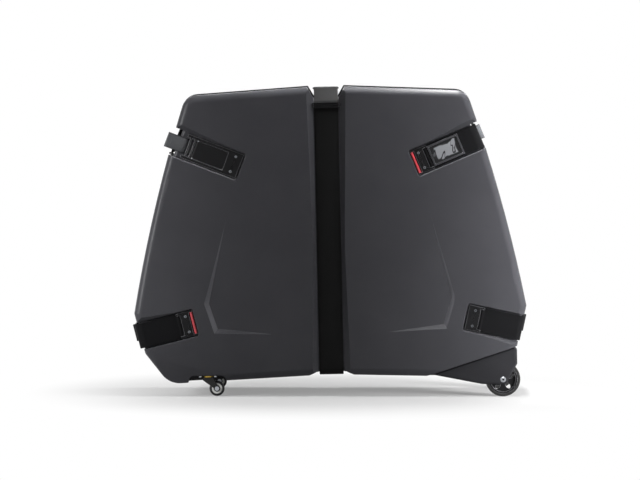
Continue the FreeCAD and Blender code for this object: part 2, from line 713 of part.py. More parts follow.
def castor_pocket(name, grow):
    """Pocket over the front castor, open to the front and downwards."""
    ceiling = size.pocket_ceiling + grow
    inner, outer = -(size.pocket_inner - grow), -(size.pocket_outer + grow)
    corner = size.pocket_round + grow
    path = [
        (outer, as_dim(-ROOM)),
        (outer, ceiling - corner),
        (outer + corner, ceiling, corner, 1),
        (inner - corner, ceiling),
        (inner, ceiling - corner, corner, 1),
        (inner, as_dim(-ROOM)),
    ]
    back = size.pocket_back - grow
    sketch = draw(f"{name}_line", on_front(back), [path])
    return extrude(name, sketch, size.half_depth - back + OVER)


def housing_seat(name, grow):
    """Corner that the wheel housing fills: all below its joint line."""
    toe = (size.housing_toe_reach, size.housing_toe_height)
    hip = (size.housing_hip_reach, size.housing_hip_height)
    way = bearing(toe, hip)
    lift = (size.housing_joint + grow) * (1 / way[0])
    slope = way[1] / way[0]
    start = (toe[0] - ROOM, toe[1] + lift - slope * ROOM)
    finish = (hip[0] + 2 * ROOM, hip[1] + lift + 2 * slope * ROOM)
    path = [start, finish, (finish[0], as_dim(-ROOM)), (start[0], as_dim(-ROOM))]
    back = size.wheel_depth - 0.5 * size.wheel_width - size.wheel_play - size.housing_wall
    back = back - size.seat_play - grow
    sketch = draw(f"{name}_line", on_front(back), [path])
    return extrude(name, sketch, size.half_depth - back + OVER)


def corner_facet(name):
    """Sloping cut below the crease at the lower left corner."""
    hip = Vector(-size.crease_hip_reach.value, 0, size.crease_hip_height.value)
    toe = Vector(-size.crease_toe_reach.value, 0, size.crease_toe_height.value)
    outward = Vector(0, -1, 0)
    along = (toe - hip).normalize()
    across = outward.cross(along)
    if across.z > 0:
        across = across * -1
    middle = (hip + toe) / 2 + outward * size.half_depth.value
    place = Placement(middle, Rotation(across, outward, across.cross(outward), "XYZ"))
    path = [(as_dim(0), as_dim(0)), (size.facet_reach, -size.facet_drop),
            (size.facet_reach, as_dim(ROOM)), (as_dim(0), as_dim(ROOM))]
    sketch = draw(f"{name}_line", place, [path])
    return extrude(name, sketch, 2 * (size.crease_hip_reach - size.crease_toe_reach), both_ways=True)


def sunk_panel(name, side):
    """Panel that sinks from its tip and inner end towards its outer corner, with sloping sides."""
    tip = (side * size.panel_tip_reach, size.panel_tip_height)
    bend = (side * size.panel_bend_reach, size.panel_bend_height)
    foot = (side * size.panel_foot_reach, size.panel_foot_height)
    end = (side * size.panel_end_reach, size.panel_end_height)
    sketch = draw(f"{name}_line", on_front(size.half_depth), [[tip, bend, foot, end]])
    sides = extrude(f"{name}_sides", sketch, 2 * size.panel_depth)
    sides.Reversed = True
    sides.setExpression("TaperAngle", f"(-1 * {size.panel_slope.text})")
    start = Vector(tip[0].value, 0, tip[1].value)
    finish = Vector(end[0].value, 0, end[1].value)
    outward = Vector(0, -1, 0)
    along = (finish - start).normalize()
    across = along.cross(outward)
    corner = Vector(bend[0].value, 0, bend[1].value) - start
    if across.dot(corner) < 0:
        across = across * -1
    reach = across.dot(corner)
    place = Placement((start + finish) / 2 + outward * size.half_depth.value,
                      Rotation(across, outward, across.cross(outward), "XYZ"))
    deep = as_dim(2 * reach)
    path = [(as_dim(0), as_dim(0)), (deep, -2 * size.panel_depth), (deep, as_dim(ROOM)),
            (as_dim(0), as_dim(ROOM))]
    floor = extrude(f"{name}_floor", draw(f"{name}_floor_line", place, [path]), LONG, both_ways=True)
    return overlap(name, sides, floor)


def face_cuts(name, grow):
    """The cuts in the face and in the lower corners."""
    return [groove(f"{name}_groove", grow), castor_pocket(f"{name}_pocket", grow),
            housing_seat(f"{name}_seat", grow)]


def inward(name, source, depth):
    return placed(name, source, Placement(Vector(0, as_dim(depth).value, 0), Rotation()))


def face_rounded(name, near, grow=0):
    """The outline block from one depth to the face, with the face's edge rounded."""
    far = size.half_depth + grow
    block = outline_block(f"{name}_block", near, far, grow)
    return round_edges(name, block, size.front_round + grow,
                       lambda edge: all(abs(v.Point.y + far.value) < NEAR for v in edge.Vertexes)
                       and abs(edge.CenterOfMass.y + far.value) < NEAR)


def build_shell():
    """Thin moulded shell with its recesses, each backed by the same wall inside."""
    outside = face_rounded("shell_outside", size.half_gap + size.rim_flange)
    inside = face_rounded("shell_inside", -as_dim(ROOM), -size.wall)
    skin = cut("shell_skin", outside, [inside])
    sloped = [sunk_panel("panel_left", -1), sunk_panel("panel_right", 1), corner_facet("facet_left")]
    flares = [flare(f"flare_{corner_name(*corner)}", *corner, as_dim(0), as_dim(0)) for corner in CLOSURES]
    mouths = [recess_mouth(f"mouth_{corner_name(*corner)}", *corner) for corner in CLOSURES]
    backs = [inward(f"{piece.Name}_back", piece, size.wall) for piece in sloped]
    backs += [flare(f"flare_back_{corner_name(*corner)}", *corner, size.flare_back, size.wall)
              for corner in CLOSURES]
    backs += edge_cuts("backs", size.wall) + face_cuts("backs", size.wall)
    backing = overlap("shell_backing", fuse("shell_backs", backs), outside)
    blank = fuse("shell_blank", [skin, backing])
    cuts = edge_cuts("cuts", as_dim(0)) + face_cuts("cuts", as_dim(0))
    return cut("front_shell_form", blank, sloped + flares + mouths + cuts)


def profile(name, grow, near, far):
    """The case's cross section with its notches, grown all round, between two depths."""
    block = outline_block(f"{name}_block", near, far, grow)
    return cut(name, block, edge_cuts(f"{name}_cuts", -as_dim(grow)))


def ring(name, outer, inner, near, far):
    """Band between two grown cross sections, near and far in front of the parting plane."""
    return cut(name, profile(f"{name}_outer", outer, near, far),
               [profile(f"{name}_inner", inner, near - OVER, far + OVER)])


def build_front_rim():
    """Edge profile of the front shell: a band outside it and a flange over its edge."""
    face, seat = size.half_gap, size.half_gap + size.rim_flange
    flange = ring("front_flange", size.rim_proud, -size.wall, face, seat)
    band = ring("front_band", size.rim_proud, as_dim(0), seat, size.rim_band)
    return fuse("front_rim_form", [flange, band])


def build_rear_rim():
    """Edge profile of the rear shell, drawn in front of the plane and turned over, with a tongue."""
    face, seat = size.half_gap, size.half_gap + size.rim_flange
    outside = -(size.wall + size.tongue_gap)
    inside = outside - size.tongue_wall
    flange = ring("rear_flange", size.rim_proud, inside, face, seat)
    band = ring("rear_band", size.rim_proud, as_dim(0), seat, size.rim_band)
    tongue = ring("rear_tongue", outside, inside, -size.tongue_reach, face)
    return fuse("rear_rim_form", [flange, band, tongue])


def build_seal():
    """Rubber seal on the rear rim's face."""
    near, far = -size.half_gap, size.half_gap - size.seal_play
    return ring("seal_form", size.seal_half, -size.seal_half, near, far)


def build_liner():
    """Foam pad on the inside of a shell's face, cut out round the backs of the recesses."""
    far = size.half_depth - size.wall - size.seat_play
    inset = size.front_round + size.liner_margin
    block = outline_block("liner_block", far - size.liner_thick, far, -inset)
    grow = size.wall + size.liner_play
    sloped = [sunk_panel("liner_panel_left", -1), sunk_panel("liner_panel_right", 1),
              corner_facet("liner_facet")]
    clear = [inward(f"{piece.Name}_clear", piece, size.wall + size.seat_play) for piece in sloped]
    clear += [flare(f"liner_flare_{corner_name(*corner)}", *corner, size.flare_back + size.liner_play, grow)
              for corner in CLOSURES]
    return cut("liner_form", block, clear + edge_cuts("liner", grow) + face_cuts("liner", grow))


# The centre strap with its handle, slide buckle and keeper.
def strap_low():
    """Height of the strap's upper face under the case, where the keeper passes below the rims."""
    floor = size.belly_height + size.notch_low_depth
    return floor - size.rim_proud - size.seat_play - size.keeper_wall - size.sleeve_play


def strap_band(name, side_play):
    """Front half of the strap: under the case, up the groove, over the ramp and along the handle."""
    play = size.seat_play
    floor = -(size.half_depth - size.groove_depth) - play
    top = size.apex_height - size.notch_top_depth
    low = strap_low()
    slope = size.ramp_rise.value / size.ramp_run.value
    rise = size.handle_rise
    foot = top - size.ramp_rise + play
    crest = floor + (top + rise - foot) * (1 / slope)
    points = [
        (-as_dim(side_play), low),
        (floor + size.low_ramp, low),
        (floor, low + size.low_ramp),
        (floor, foot),
        (crest, top + rise),
        (-as_dim(side_play), top + rise),
    ]
    bends = [size.strap_bend] * 4
    sketch = draw(f"{name}_line", on_side(), [ribbon(points, bends, size.strap_thick)])
    return extrude(name, sketch, size.strap_width, both_ways=True)


def tube(name, half_length, height, wall):
    """Flat tube round the strap, along the depth, at the strap's height."""
    play = size.sleeve_play
    half = 0.5 * size.strap_width + play
    low, high = height - play, height + size.strap_thick + play
    outer = [(-(half + wall), low - wall), (half + wall, low - wall), (half + wall, high + wall),
             (-(half + wall), high + wall)]
    inner = [(-half, low), (half, low), (half, high), (-half, high)]
    sketch = draw(f"{name}_line", on_front(-half_length), [outer, inner])
    return extrude(name, sketch, 2 * half_length)


def build_handle_sleeve():
    height = size.apex_height - size.notch_top_depth + size.handle_rise
    return tube("sleeve_form", size.sleeve_half, height, size.sleeve_wall)


def build_keeper():
    height = strap_low() - size.strap_thick
    return tube("keeper_form", size.keeper_half, height, size.keeper_wall)


def build_adjuster():
    """Slide buckle on the front of the strap: a frame with one middle bar."""
    half, bar = 0.5 * size.adjuster_width, size.adjuster_bar
    top = size.apex_height - size.adjuster_drop
    low = top - size.adjuster_height
    middle = 0.5 * (top + low)
    inner = half - bar
    outer = [(-half, low), (half, low), (half, top), (-half, top)]
    below, above = middle - 0.5 * bar, middle + 0.5 * bar
    lower = [(-inner, low + bar), (inner, low + bar), (inner, below), (-inner, below)]
    upper = [(-inner, above), (inner, above), (inner, top - bar), (-inner, top - bar)]
    depth = size.half_depth - size.groove_depth + 2 * size.seat_play + size.strap_thick
    sketch = draw("adjuster_line", on_front(depth), [outer, lower, upper])
    frame = extrude("adjuster_frame", sketch, size.adjuster_thick)
    front = -(depth + size.adjuster_thick).value
    return round_edges("adjuster_form", frame, size.adjuster_round,
                       lambda edge: all(abs(v.Point.y - front) < NEAR for v in edge.Vertexes))


# The corner closures, each drawn in its recess's own frame: x outwards, y out of the face, z across.
ON_FACE = Placement()


def bar(name, path, half, middle=0):
    """A prism across the recess, from a path in the plane of its length and depth."""
    place = Placement(Vector(0, 0, as_dim(middle).value), Rotation())
    return extrude(name, draw(f"{name}_line", place, [path]), 2 * as_dim(half), both_ways=True)


def plate_levels():
    """Underside and top of the base plates, as depths below the face."""
    under = -size.recess_depth + size.seat_play
    return under, under + size.plate_height


def on_pin(name, radius, half):
    """A cylinder on the hinge pin's axis."""
    sketch = draw(f"{name}_line", ON_FACE, circles=[(size.pin_place, -size.pin_depth, radius)])
    return extrude(name, sketch, 2 * half, both_ways=True)


def hinge_plate(name, start):
    """Base plate from start to the pin, with a lug at each side for the pin and two screw holes."""
    under, top = plate_levels()
    gap = size.lug_radius + size.lug_play
    end = size.pin_place - gap
    plate = bar(f"{name}_slab", [(start, under), (end, under), (end, top), (start, top)], size.plate_half)
    lug = size.lug_radius
    axis = -size.pin_depth
    path = [
        (end - OVER, axis - lug),
        (size.pin_place, axis - lug),
        (size.pin_place + lug, axis, lug, -1),
        (size.pin_place, axis + lug, lug, -1),
        (end - OVER, top),
    ]
    lugs = []
    for side in (-1, 1):
        middle = side * (size.plate_half - 0.5 * size.lug_width)
        lugs.append(bar(f"{name}_lug_{'low' if side < 0 else 'high'}", path, 0.5 * size.lug_width, middle))
    return [plate] + lugs


def screw_holes(name):
    """Holes of the two plate screws, down through the plate."""
    under, top = plate_levels()
    place = Placement(Vector(0, top.value + OVER, 0), Rotation(Vector(1, 0, 0), 90))
    radius = size.screw_radius + size.screw_play
    spots = [(size.screw_place, side * size.screw_spread, radius) for side in (-1, 1)]
    return extrude(name, draw(f"{name}_line", place, circles=spots), size.plate_height + 2 * OVER)


def build_latch_base():
    """Base plate of a lever closure: two arms guide the red release tab over a thin floor."""
    start = size.tab_inset + size.tab_length + size.tab_travel + size.tab_play
    pieces = hinge_plate("latch_plate", start)
    under, top = plate_levels()
    inner = size.guide_inset
    floor = [(inner, under), (start + OVER, under), (start + OVER, under + size.plate_floor),
             (inner, under + size.plate_floor)]
    pieces.append(bar("latch_floor", floor, size.plate_half))
    arm = 0.5 * (size.plate_half - size.tab_half - size.tab_play)
    for side in (-1, 1):
        path = [(inner, under), (start + OVER, under), (start + OVER, top), (inner, top)]
        name = f"latch_arm_{'low' if side < 0 else 'high'}"
        pieces.append(bar(name, path, arm, side * (size.plate_half - arm)))
    hole = on_pin("latch_pin_hole", size.pin_radius, size.plate_half + OVER)
    return cut("latch_base_form", fuse("latch_base_blank", pieces), [hole, screw_holes("latch_holes")])


def build_release_tab():
    """Red tab between the base plate's arms, with a crowned top."""
    under, top = plate_levels()
    low = under + size.plate_floor + size.tab_play
    end = size.tab_inset + size.tab_length
    path = [(size.tab_inset, low), (end, low), (end, top), (size.tab_inset, top, size.tab_crown, -1)]
    return bar("release_tab_form", path, size.tab_half)


def build_anchor_base():
    """Base plate of a plain closure."""
    blank = fuse("anchor_base_blank", hinge_plate("anchor_plate", size.plate_inset))
    hole = on_pin("anchor_pin_hole", size.pin_radius, size.plate_half + OVER)
    return cut("anchor_base_form", blank, [hole, screw_holes("anchor_holes")])


def build_pin():
    return on_pin("hinge_pin_form", size.pin_radius, size.plate_half - size.pin_short)


def build_screws():
    """The two screws of one base plate: a domed head and a shank each."""
    under, top = plate_levels()
    pieces = []
    for side in (-1, 1):
        across = -side * size.screw_spread
        head = doc.addObject("Part::Cylinder", f"screw_head_{'low' if side < 0 else 'high'}")
        bind(head, "Radius", size.screw_head)
        bind(head, "Height", size.screw_rise)
        shank = doc.addObject("Part::Cylinder", f"screw_shank_{'low' if side < 0 else 'high'}")
        bind(shank, "Radius", size.screw_radius)
        bind(shank, "Height", size.plate_height + 0.5 * size.screw_rise)
        turn = Rotation(Vector(1, 0, 0), -90)
        head.Placement = Placement(Vector(size.screw_place.value, top.value, across.value), turn)
        shank.Placement = Placement(Vector(size.screw_place.value, under.value, across.value), turn)
        rim = top.value + size.screw_rise.value
        dome = round_edges(f"{head.Name}_dome", head, size.screw_dome,
                           lambda edge: abs(edge.CenterOfMass.y - rim) < NEAR and edge.Closed and
                           abs(edge.BoundBox.YLength) < NEAR)
        pieces.append(fuse(f"plate_screw_{'low' if side < 0 else 'high'}", [dome, shank]))
    group = doc.addObject("Part::Compound", "plate_screws_form")
    group.Links = pieces
    return group


def barrel_and_neck(name, inner_face, thick):
    """Hinge barrel between the lugs, with the neck that joins it to a flap at this depth."""
    half = size.plate_half - size.lug_width - size.lug_play
    start = size.pin_place + size.lug_radius + 2 * size.lug_play
    outer_face = inner_face + thick
    neck = [(size.pin_place, inner_face), (start + OVER, inner_face), (start + OVER, outer_face),
            (size.pin_place, outer_face)]
    barrel = on_pin(f"{name}_barrel", size.lug_radius, half)
    return [barrel, bar(f"{name}_neck", neck, half)], start


def build_lever(level):
    """Lever from the hinge barrel along the face, round the end and past the parting plane."""
    name = f"{level}_lever"
    run = RUNS[level]
    inner_face = -(size.lever_depth + size.lever_thick)
    pieces, start = barrel_and_neck(name, inner_face, size.lever_thick)
    end = run + size.lever_clear
    tip = -(size.half_depth + size.lever_lap)
    points = [(start, inner_face), (end, inner_face), (end, tip)]
    pieces.append(bar(f"{name}_band", ribbon(points, [size.lever_bend], size.lever_thick), size.plate_half))
    outside = end + size.lever_thick
    if level == "lower":
        first, last = size.pull_start, size.pull_start + size.pull_length
        ridge = first + size.pull_ramp
        pull = [(outside - OVER, -first), (outside, -first), (outside + size.pull_rise, -ridge),
                (outside + size.pull_rise, -(ridge + size.pull_ridge)), (outside, -last),
                (outside - OVER, -last)]
        pieces.append(bar(f"{name}_pull", pull, size.pull_half, size.pull_shift))
    hole = on_pin(f"{name}_hole", size.pin_radius + size.pin_play, size.plate_half)
    return cut(f"{name}_form", fuse(f"{name}_blank", pieces), [hole])


def card_plane(depth):
    """Plane over a lever: x along the recess, y across it, normal out of the face."""
    return Placement(Vector(0, as_dim(depth).value, 0), Rotation(Vector(1, 0, 0), -90))


def box_path(start, end, half):
    return [(start, -half), (end, -half), (end, half), (start, half)]


def build_card_frame():
    """Border of the card holder on the outside of the upper lever."""
    start, end = size.card_start, size.card_start + size.card_length
    outer = box_path(start, end, size.card_half)
    inner = box_path(start + size.card_border, end - size.card_border, size.card_half - size.card_border)
    frame = extrude("card_frame_bar", draw("card_frame_line", card_plane(-size.lever_depth), [outer, inner]),
                    size.card_rise)
    top = size.card_rise.value - size.lever_depth.value
    return round_edges("card_frame_form", frame, size.card_round,
                       lambda edge: all(abs(v.Point.y - top) < NEAR for v in edge.Vertexes))


def build_card_window():
    """Flat pane inside the card holder's border, a little above the lever."""
    inset = size.card_border + size.seat_play
    end = size.card_start + size.card_length - inset
    path = box_path(size.card_start + inset, end, size.card_half - inset)
    rise = size.card_rise - 2 * size.window_thick
    return extrude("card_window_form", draw("card_window_line", card_plane(rise - size.lever_depth), [path]),
                   size.window_thick)


def build_anchor_strap():
    """Plain strap from its hinge pin along the face, round the end and up to the parting plane."""
    run = RUNS["lower"]
    inner_face = -(size.lever_depth + size.anchor_thick)
    pieces, start = barrel_and_neck("anchor", inner_face, size.anchor_thick)
    end = run + size.anchor_clear
    points = [(start, inner_face), (end, inner_face), (end, -(size.half_depth - size.anchor_end))]
    pieces.append(bar("anchor_band", ribbon(points, [size.anchor_bend], size.anchor_thick), size.plate_half))
    hole = on_pin("anchor_hole", size.pin_radius + size.pin_play, size.plate_half)
    return cut("anchor_strap_form", fuse("anchor_strap_blank", pieces), [hole])


def cover_axis():
    """Along and depth of the buckle lever's pin."""
    under, top = plate_levels()
    return RUNS["upper"] - size.cover_pin_place, top - 0.5 * size.cover_thick


def build_buckle_frame():
    """Ladder buckle: base plate, two side rails, a floor and two bars at the outer end."""
    under, top = plate_levels()
    run = RUNS["upper"]
    end = run - size.frame_end
    plate_end = size.cover_start - size.lug_play
    pieces = [bar("frame_plate", [(size.plate_inset, under), (plate_end, under), (plate_end, top),
                                  (size.plate_inset, top)], size.plate_half)]
    rail = 0.5 * size.frame_rail
    for side in (-1, 1):
        path = [(plate_end - OVER, under), (end, under), (end, top), (plate_end - OVER, top)]
        name = f"frame_rail_{'low' if side < 0 else 'high'}"
        pieces.append(bar(name, path, rail, side * (size.plate_half - rail)))
    for number, place in enumerate((size.bar_inner, size.bar_outer)):
        first, last = run - place - 0.5 * size.bar_width, run - place + 0.5 * size.bar_width
        path = [(first, top - size.bar_width), (last, top - size.bar_width), (last, top), (first, top)]
        pieces.append(bar(f"frame_bar_{number}", path, size.plate_half - rail))
    sketch = draw("frame_pin_line", ON_FACE, circles=[cover_axis() + (size.cover_pin_radius,)])
    hole = extrude("frame_pin_hole", sketch, 2 * size.plate_half + OVER, both_ways=True)
    blank = fuse("buckle_frame_blank", pieces)
    return cut("buckle_frame_form", blank, [hole, screw_holes("frame_screws")])


def build_cover_pin():
    sketch = draw("cover_pin_line", ON_FACE, circles=[cover_axis() + (size.cover_pin_radius,)])
    return extrude("cover_pin_form", sketch, 2 * (size.plate_half - size.pin_short), both_ways=True)


def build_buckle_lever():
    """Flat lever with rounded corners over the webbing, turning on its own pin at the outer end."""
    along, depth = cover_axis()
    half_thick = 0.5 * size.cover_thick
    path = [
        (size.cover_start, depth - half_thick),
        (along, depth - half_thick),
        (along + half_thick, depth, half_thick, -1),
        (along, depth + half_thick, half_thick, -1),
        (size.cover_start, depth + half_thick),
    ]
    flat = bar("buckle_lever_flat", path, size.cover_half)
    start = size.cover_start.value
    rounded = round_edges("buckle_lever_round", flat, size.cover_round,
                          lambda edge: abs(edge.CenterOfMass.x - start) < NEAR and
                          abs(edge.BoundBox.YLength - size.cover_thick.value) < NEAR)
    sketch = draw("buckle_lever_hole_line", ON_FACE,
                  circles=[(along, depth, size.cover_pin_radius + size.pin_play)])
    hole = extrude("buckle_lever_hole", sketch, 2 * size.plate_half, both_ways=True)
    return cut("buckle_lever_form", rounded, [hole])


def build_webbing():
    """Adjustable webbing under the buckle lever, round the end to the parting plane, with its tail."""
    under, top = plate_levels()
    run = RUNS["upper"]
    inner_face = under + size.webbing_rise
    end = run + size.webbing_clear
    points = [(size.cover_start + size.webbing_start, inner_face), (end, inner_face),
              (end, -(size.half_depth - size.anchor_end))]
    main = bar("webbing_band", ribbon(points, [size.webbing_bend], size.webbing_thick), size.webbing_half)
    lift = inner_face + 0.5 * size.webbing_thick
    first = run - size.bar_outer + size.bar_width
    tail_points = [(first, lift), (first + size.tail_run, lift + size.tail_lift),
                   (run + size.tail_reach, lift + size.tail_rise)]
    tail = bar("webbing_tail", ribbon(tail_points, [size.tail_bend], size.webbing_thick), size.webbing_half)
    return fuse("webbing_form", [main, tail])


# The large wheels, their housings and the castors.
LEAN_ANGLE = math.radians(size.case_lean.value)
LEAN_SINE = Dim(math.sin(LEAN_ANGLE), "sin(dims.case_lean)")
LEAN_COSINE = Dim(math.cos(LEAN_ANGLE), "cos(dims.case_lean)")
LEAN_SECANT = Dim(1 / math.cos(LEAN_ANGLE), "(1 / cos(dims.case_lean))")


def wheel_axis():
    """Reach and height of the large wheels' axle on the upright case, so that they stand on the floor."""
    drop = size.wheel_radius - size.lean_height
    reach = size.wheel_place * LEAN_COSINE + drop * LEAN_SINE
    height = size.lean_height - size.wheel_place * LEAN_SINE + drop * LEAN_COSINE
    return reach, height


def castor_axle():
    """Reach (negative, to the left) and height of a castor's axle on the upright case."""
    reach = -(size.castor_place - size.castor_trail)
    height = size.lean_height + (size.castor_radius - size.lean_height - reach * LEAN_SINE) * LEAN_SECANT
    return reach, height


def turned(name, path):
    """A solid of revolution about Y from a path of radius and axial place."""
    spin = doc.addObject("Part::Revolution", name)
    spin.Source = draw(f"{name}_line", Placement(), [path])
    spin.Axis = Vector(0, 1, 0)
    spin.Base = Vector()
    spin.Angle = 360
    spin.Solid = True
    return spin


def build_tyre():
    inner, outer, half = size.wheel_radius - size.tyre_thick, size.wheel_radius, 0.5 * size.wheel_width
    crown = 0.5 * size.tyre_thick
    path = [(inner, -half), (outer - crown, -half), (outer, -half + crown, crown, -1), (outer, half - crown),
            (outer - crown, half, crown, -1), (inner, half)]
    return turned("tyre_form", path)


def build_hub():
    """Hub with a boss, a rim under the tyre and leaf shaped openings between its spokes."""
    bore = size.axle_radius + size.axle_play
    outer, boss = size.wheel_radius - size.tyre_thick, size.boss_radius
    inner, half = outer - size.hub_rim, 0.5 * size.wheel_width
    web, face = 0.5 * size.hub_web, 0.5 * size.wheel_width + 0.5 * size.wheel_play
    path = [(bore, -face), (boss, -face), (boss, -web), (inner, -web), (inner, -half), (outer, -half),
            (outer, half), (inner, half), (inner, web), (boss, web), (boss, face), (bore, face)]
    blank = turned("hub_blank", path)
    near, far = boss + size.leaf_margin, inner - size.leaf_margin
    reach = 0.5 * (far - near)
    bulge = (reach.value ** 2 + size.leaf_half.value ** 2) / (2 * size.leaf_half.value)
    leaf = [(as_dim(0), near, bulge, 1), (as_dim(0), far, bulge, 1)]
    sketch = draw("hub_leaf_line", on_front(-size.wheel_width), [leaf])
    cutter = extrude("hub_leaf", sketch, 2 * size.wheel_width)
    count = int(size.leaf_count.value)
    turns = [Rotation(Vector(0, 1, 0), 360 * number / count) for number in range(count)]
    leaves = [placed(f"hub_leaf_{number}", cutter, Placement(Vector(), turn))
              for number, turn in enumerate(turns)]
    return cut("hub_form", blank, leaves)


def cheek_faces():
    """Outside and inside of the housing's outer cheek, then of its inner cheek, from the wheel's middle."""
    clear = 0.5 * size.wheel_width + size.wheel_play
    return clear + size.housing_wall, clear


def build_axle():
    """Axle screw through both cheeks, with its head outside."""
    outside, _ = cheek_faces()
    head = size.axle_head_rise
    path = [(as_dim(0), -(outside + head)), (size.axle_head_flat, -(outside + head)),
            (size.axle_head, -(outside + size.axle_head_edge)), (size.axle_head, -outside),
            (size.axle_radius, -outside), (size.axle_radius, outside), (as_dim(0), outside)]
    return turned("axle_form", path)


def build_housing():
    """Moulded corner round the wheel: two cheeks, a wheel arch and the axle's hole."""
    reach, height = wheel_axis()
    outside, clear = cheek_faces()
    cheek = size.cheek_radius
    edge = size.housing_hip_reach + size.housing_round
    path = [
        (size.housing_toe_reach, size.housing_toe_height),
        (size.housing_hip_reach, size.housing_hip_height),
        (edge, size.housing_hip_height - size.housing_round, size.housing_round, 1),
        (edge, size.housing_edge_height),
        (reach + cheek, height),
        (reach, height - cheek, cheek, 1),
        (reach - size.housing_low_lead, size.housing_low_height),
    ]
    middle = size.wheel_depth
    blank = extrude("housing_blank", draw("housing_line", on_front(middle - outside), [path]), 2 * outside)
    front = -(middle + outside).value
    rounded = round_edges("housing_round_form", blank, size.housing_round,
                          lambda e: all(abs(v.Point.y - front) < NEAR for v in e.Vertexes))
    arch_line = draw("housing_arch_line", on_front(middle - clear),
                     circles=[(reach, height, size.wheel_radius + size.wheel_play)])
    arch = extrude("housing_arch", arch_line, 2 * clear)
    hole_line = draw("housing_hole_line", on_front(middle - outside - OVER),
                     circles=[(reach, height, size.axle_radius)])
    hole = extrude("housing_hole", hole_line, 2 * outside + 2 * OVER)
    return cut("housing_form", rounded, [arch, hole])


def castor_levels():
    """Heights of a castor's plate top, plate underside, race underside and fork top."""
    plate_top = size.pocket_ceiling - size.seat_play
    plate_low = plate_top - size.castor_plate_thick
    race_low = plate_low - size.race_height
    return plate_top, plate_low, race_low, race_low - size.seat_play


def upright(name, radius, low, high, along=0, across=0):
    """An upright cylinder beside the castor's swivel axis."""
    post = doc.addObject("Part::Cylinder", name)
    bind(post, "Radius", radius)
    bind(post, "Height", high - low)
    post.Placement.Base = Vector(as_dim(along).value, as_dim(across).value, low.value)
    return post


def castor_spot():
    return Placement(Vector(-size.castor_place.value, -size.castor_depth.value, 0), Rotation())


def build_castor_plate():
    """Top plate with the king pin that carries the fork."""
    plate_top, plate_low, race_low, fork_top = castor_levels()
    half, side = size.castor_plate_half, size.castor_plate_side
    path = [(-half, -side), (half, -side), (half, side), (-half, side)]
    plate = extrude("castor_plate_sheet", draw("castor_plate_line", on_level(plate_low), [path]),
                    size.castor_plate_thick)
    low = fork_top - size.fork_wall - 2 * size.seat_play
    pin = upright("castor_king_pin", size.king_radius, low - size.fork_wall, plate_top)
    button = upright("castor_king_head", size.king_head, low - size.fork_wall, low)
    return fuse("castor_plate_form", [plate, pin, button])


def build_race():
    plate_top, plate_low, race_low, fork_top = castor_levels()
    ball_ring = upright("castor_race_ring", size.race_radius, race_low, plate_low)
    return cut("castor_race_form", ball_ring,
               [upright("castor_race_bore", size.king_radius, race_low - OVER, plate_low + OVER)])


def build_fork():
    """Crown under the race and two legs that trail to the axle."""
    plate_top, plate_low, race_low, fork_top = castor_levels()
    reach, height = castor_axle()
    trail = size.castor_trail
    wide, eye = size.fork_half, size.fork_eye
    inner = 0.5 * size.castor_width + size.castor_play
    outer = inner + size.fork_wall
    crown_path = [(-wide, -outer), (wide, -outer), (wide, outer), (-wide, outer)]
    crown = extrude("fork_crown", draw("fork_crown_line", on_level(fork_top - size.fork_wall), [crown_path]),
                    size.fork_wall)
    leg = [(-wide, fork_top), (wide, fork_top), (trail + eye, height), (trail, height - eye, eye, 1),
           (trail - eye, height, eye, 1), (-wide, fork_top - 3 * size.fork_wall)]
    legs = [extrude("fork_leg_front", draw("fork_leg_front_line", on_front(inner), [leg]), size.fork_wall),
            extrude("fork_leg_back", draw("fork_leg_back_line", on_front(-outer), [leg]), size.fork_wall)]
    bore = size.king_radius + size.axle_play
    king = upright("fork_king_hole", bore, fork_top - 2 * size.fork_wall, fork_top + OVER)
    axle_line = draw("fork_axle_line", on_front(-outer - OVER), circles=[(trail, height, size.castor_axle)])
    axle = extrude("fork_axle_hole", axle_line, 2 * outer + 2 * OVER)
    return cut("fork_form", fuse("fork_blank", [crown] + legs), [king, axle])


def build_castor_wheel():
    """Castor wheel with a rounded tread and dished sides."""
    bore = size.castor_axle + size.axle_play
    outer, half = size.castor_radius, 0.5 * size.castor_width
    crown, dish = size.castor_crown, size.castor_dish
    hub, lip = size.castor_hub, size.castor_lip
    path = [(bore, -half), (hub, -half), (hub, dish - half), (lip, dish - half), (lip, -half),
            (outer - crown, -half), (outer, crown - half, crown, -1), (outer, half - crown),
            (outer - crown, half, crown, -1), (lip, half), (lip, half - dish), (hub, half - dish),
            (hub, half), (bore, half)]
    return turned("castor_wheel_form", path)


def build_castor_axle():
    """Axle bolt with a head at each end outside the fork."""
    outer = 0.5 * size.castor_width + size.castor_play + size.fork_wall
    head, rise = size.castor_axle_head, size.castor_axle_rise
    path = [(as_dim(0), -(outer + rise)), (head, -(outer + rise)), (head, -outer), (size.castor_axle, -outer),
            (size.castor_axle, outer), (head, outer), (head, outer + rise), (as_dim(0), outer + rise)]
    return turned("castor_axle_form", path)


def build_castor_bolts():
    """Heads of the four bolts that hold a castor's plate."""
    plate_top, plate_low, race_low, fork_top = castor_levels()
    heads = []
    for along in (-1, 1):
        for across in (-1, 1):
            name = f"castor_bolt_{along + 1}_{across + 1}"
            heads.append(upright(name, size.bolt_head, plate_low - size.bolt_rise, plate_low,
                                 along * size.bolt_place, across * size.bolt_side))
    group = doc.addObject("Part::Compound", "castor_bolts_form")
    group.Links = heads
    return group


# The finished pieces, leaned as the case stands.
LEAN = Placement(Vector(), Rotation(Vector(0, -1, 0), size.case_lean.value),
                 Vector(0, 0, size.lean_height.value))
HALF_TURN = Placement(Vector(), Rotation(Vector(0, 0, 1), 180))
pieces = []


def node(label, source, place=Placement()):
    """A finished piece of the case."""
    piece = placed(f"node_{label}", source, LEAN.multiply(place))
    piece.Label = label
    pieces.append(piece)
    return piece


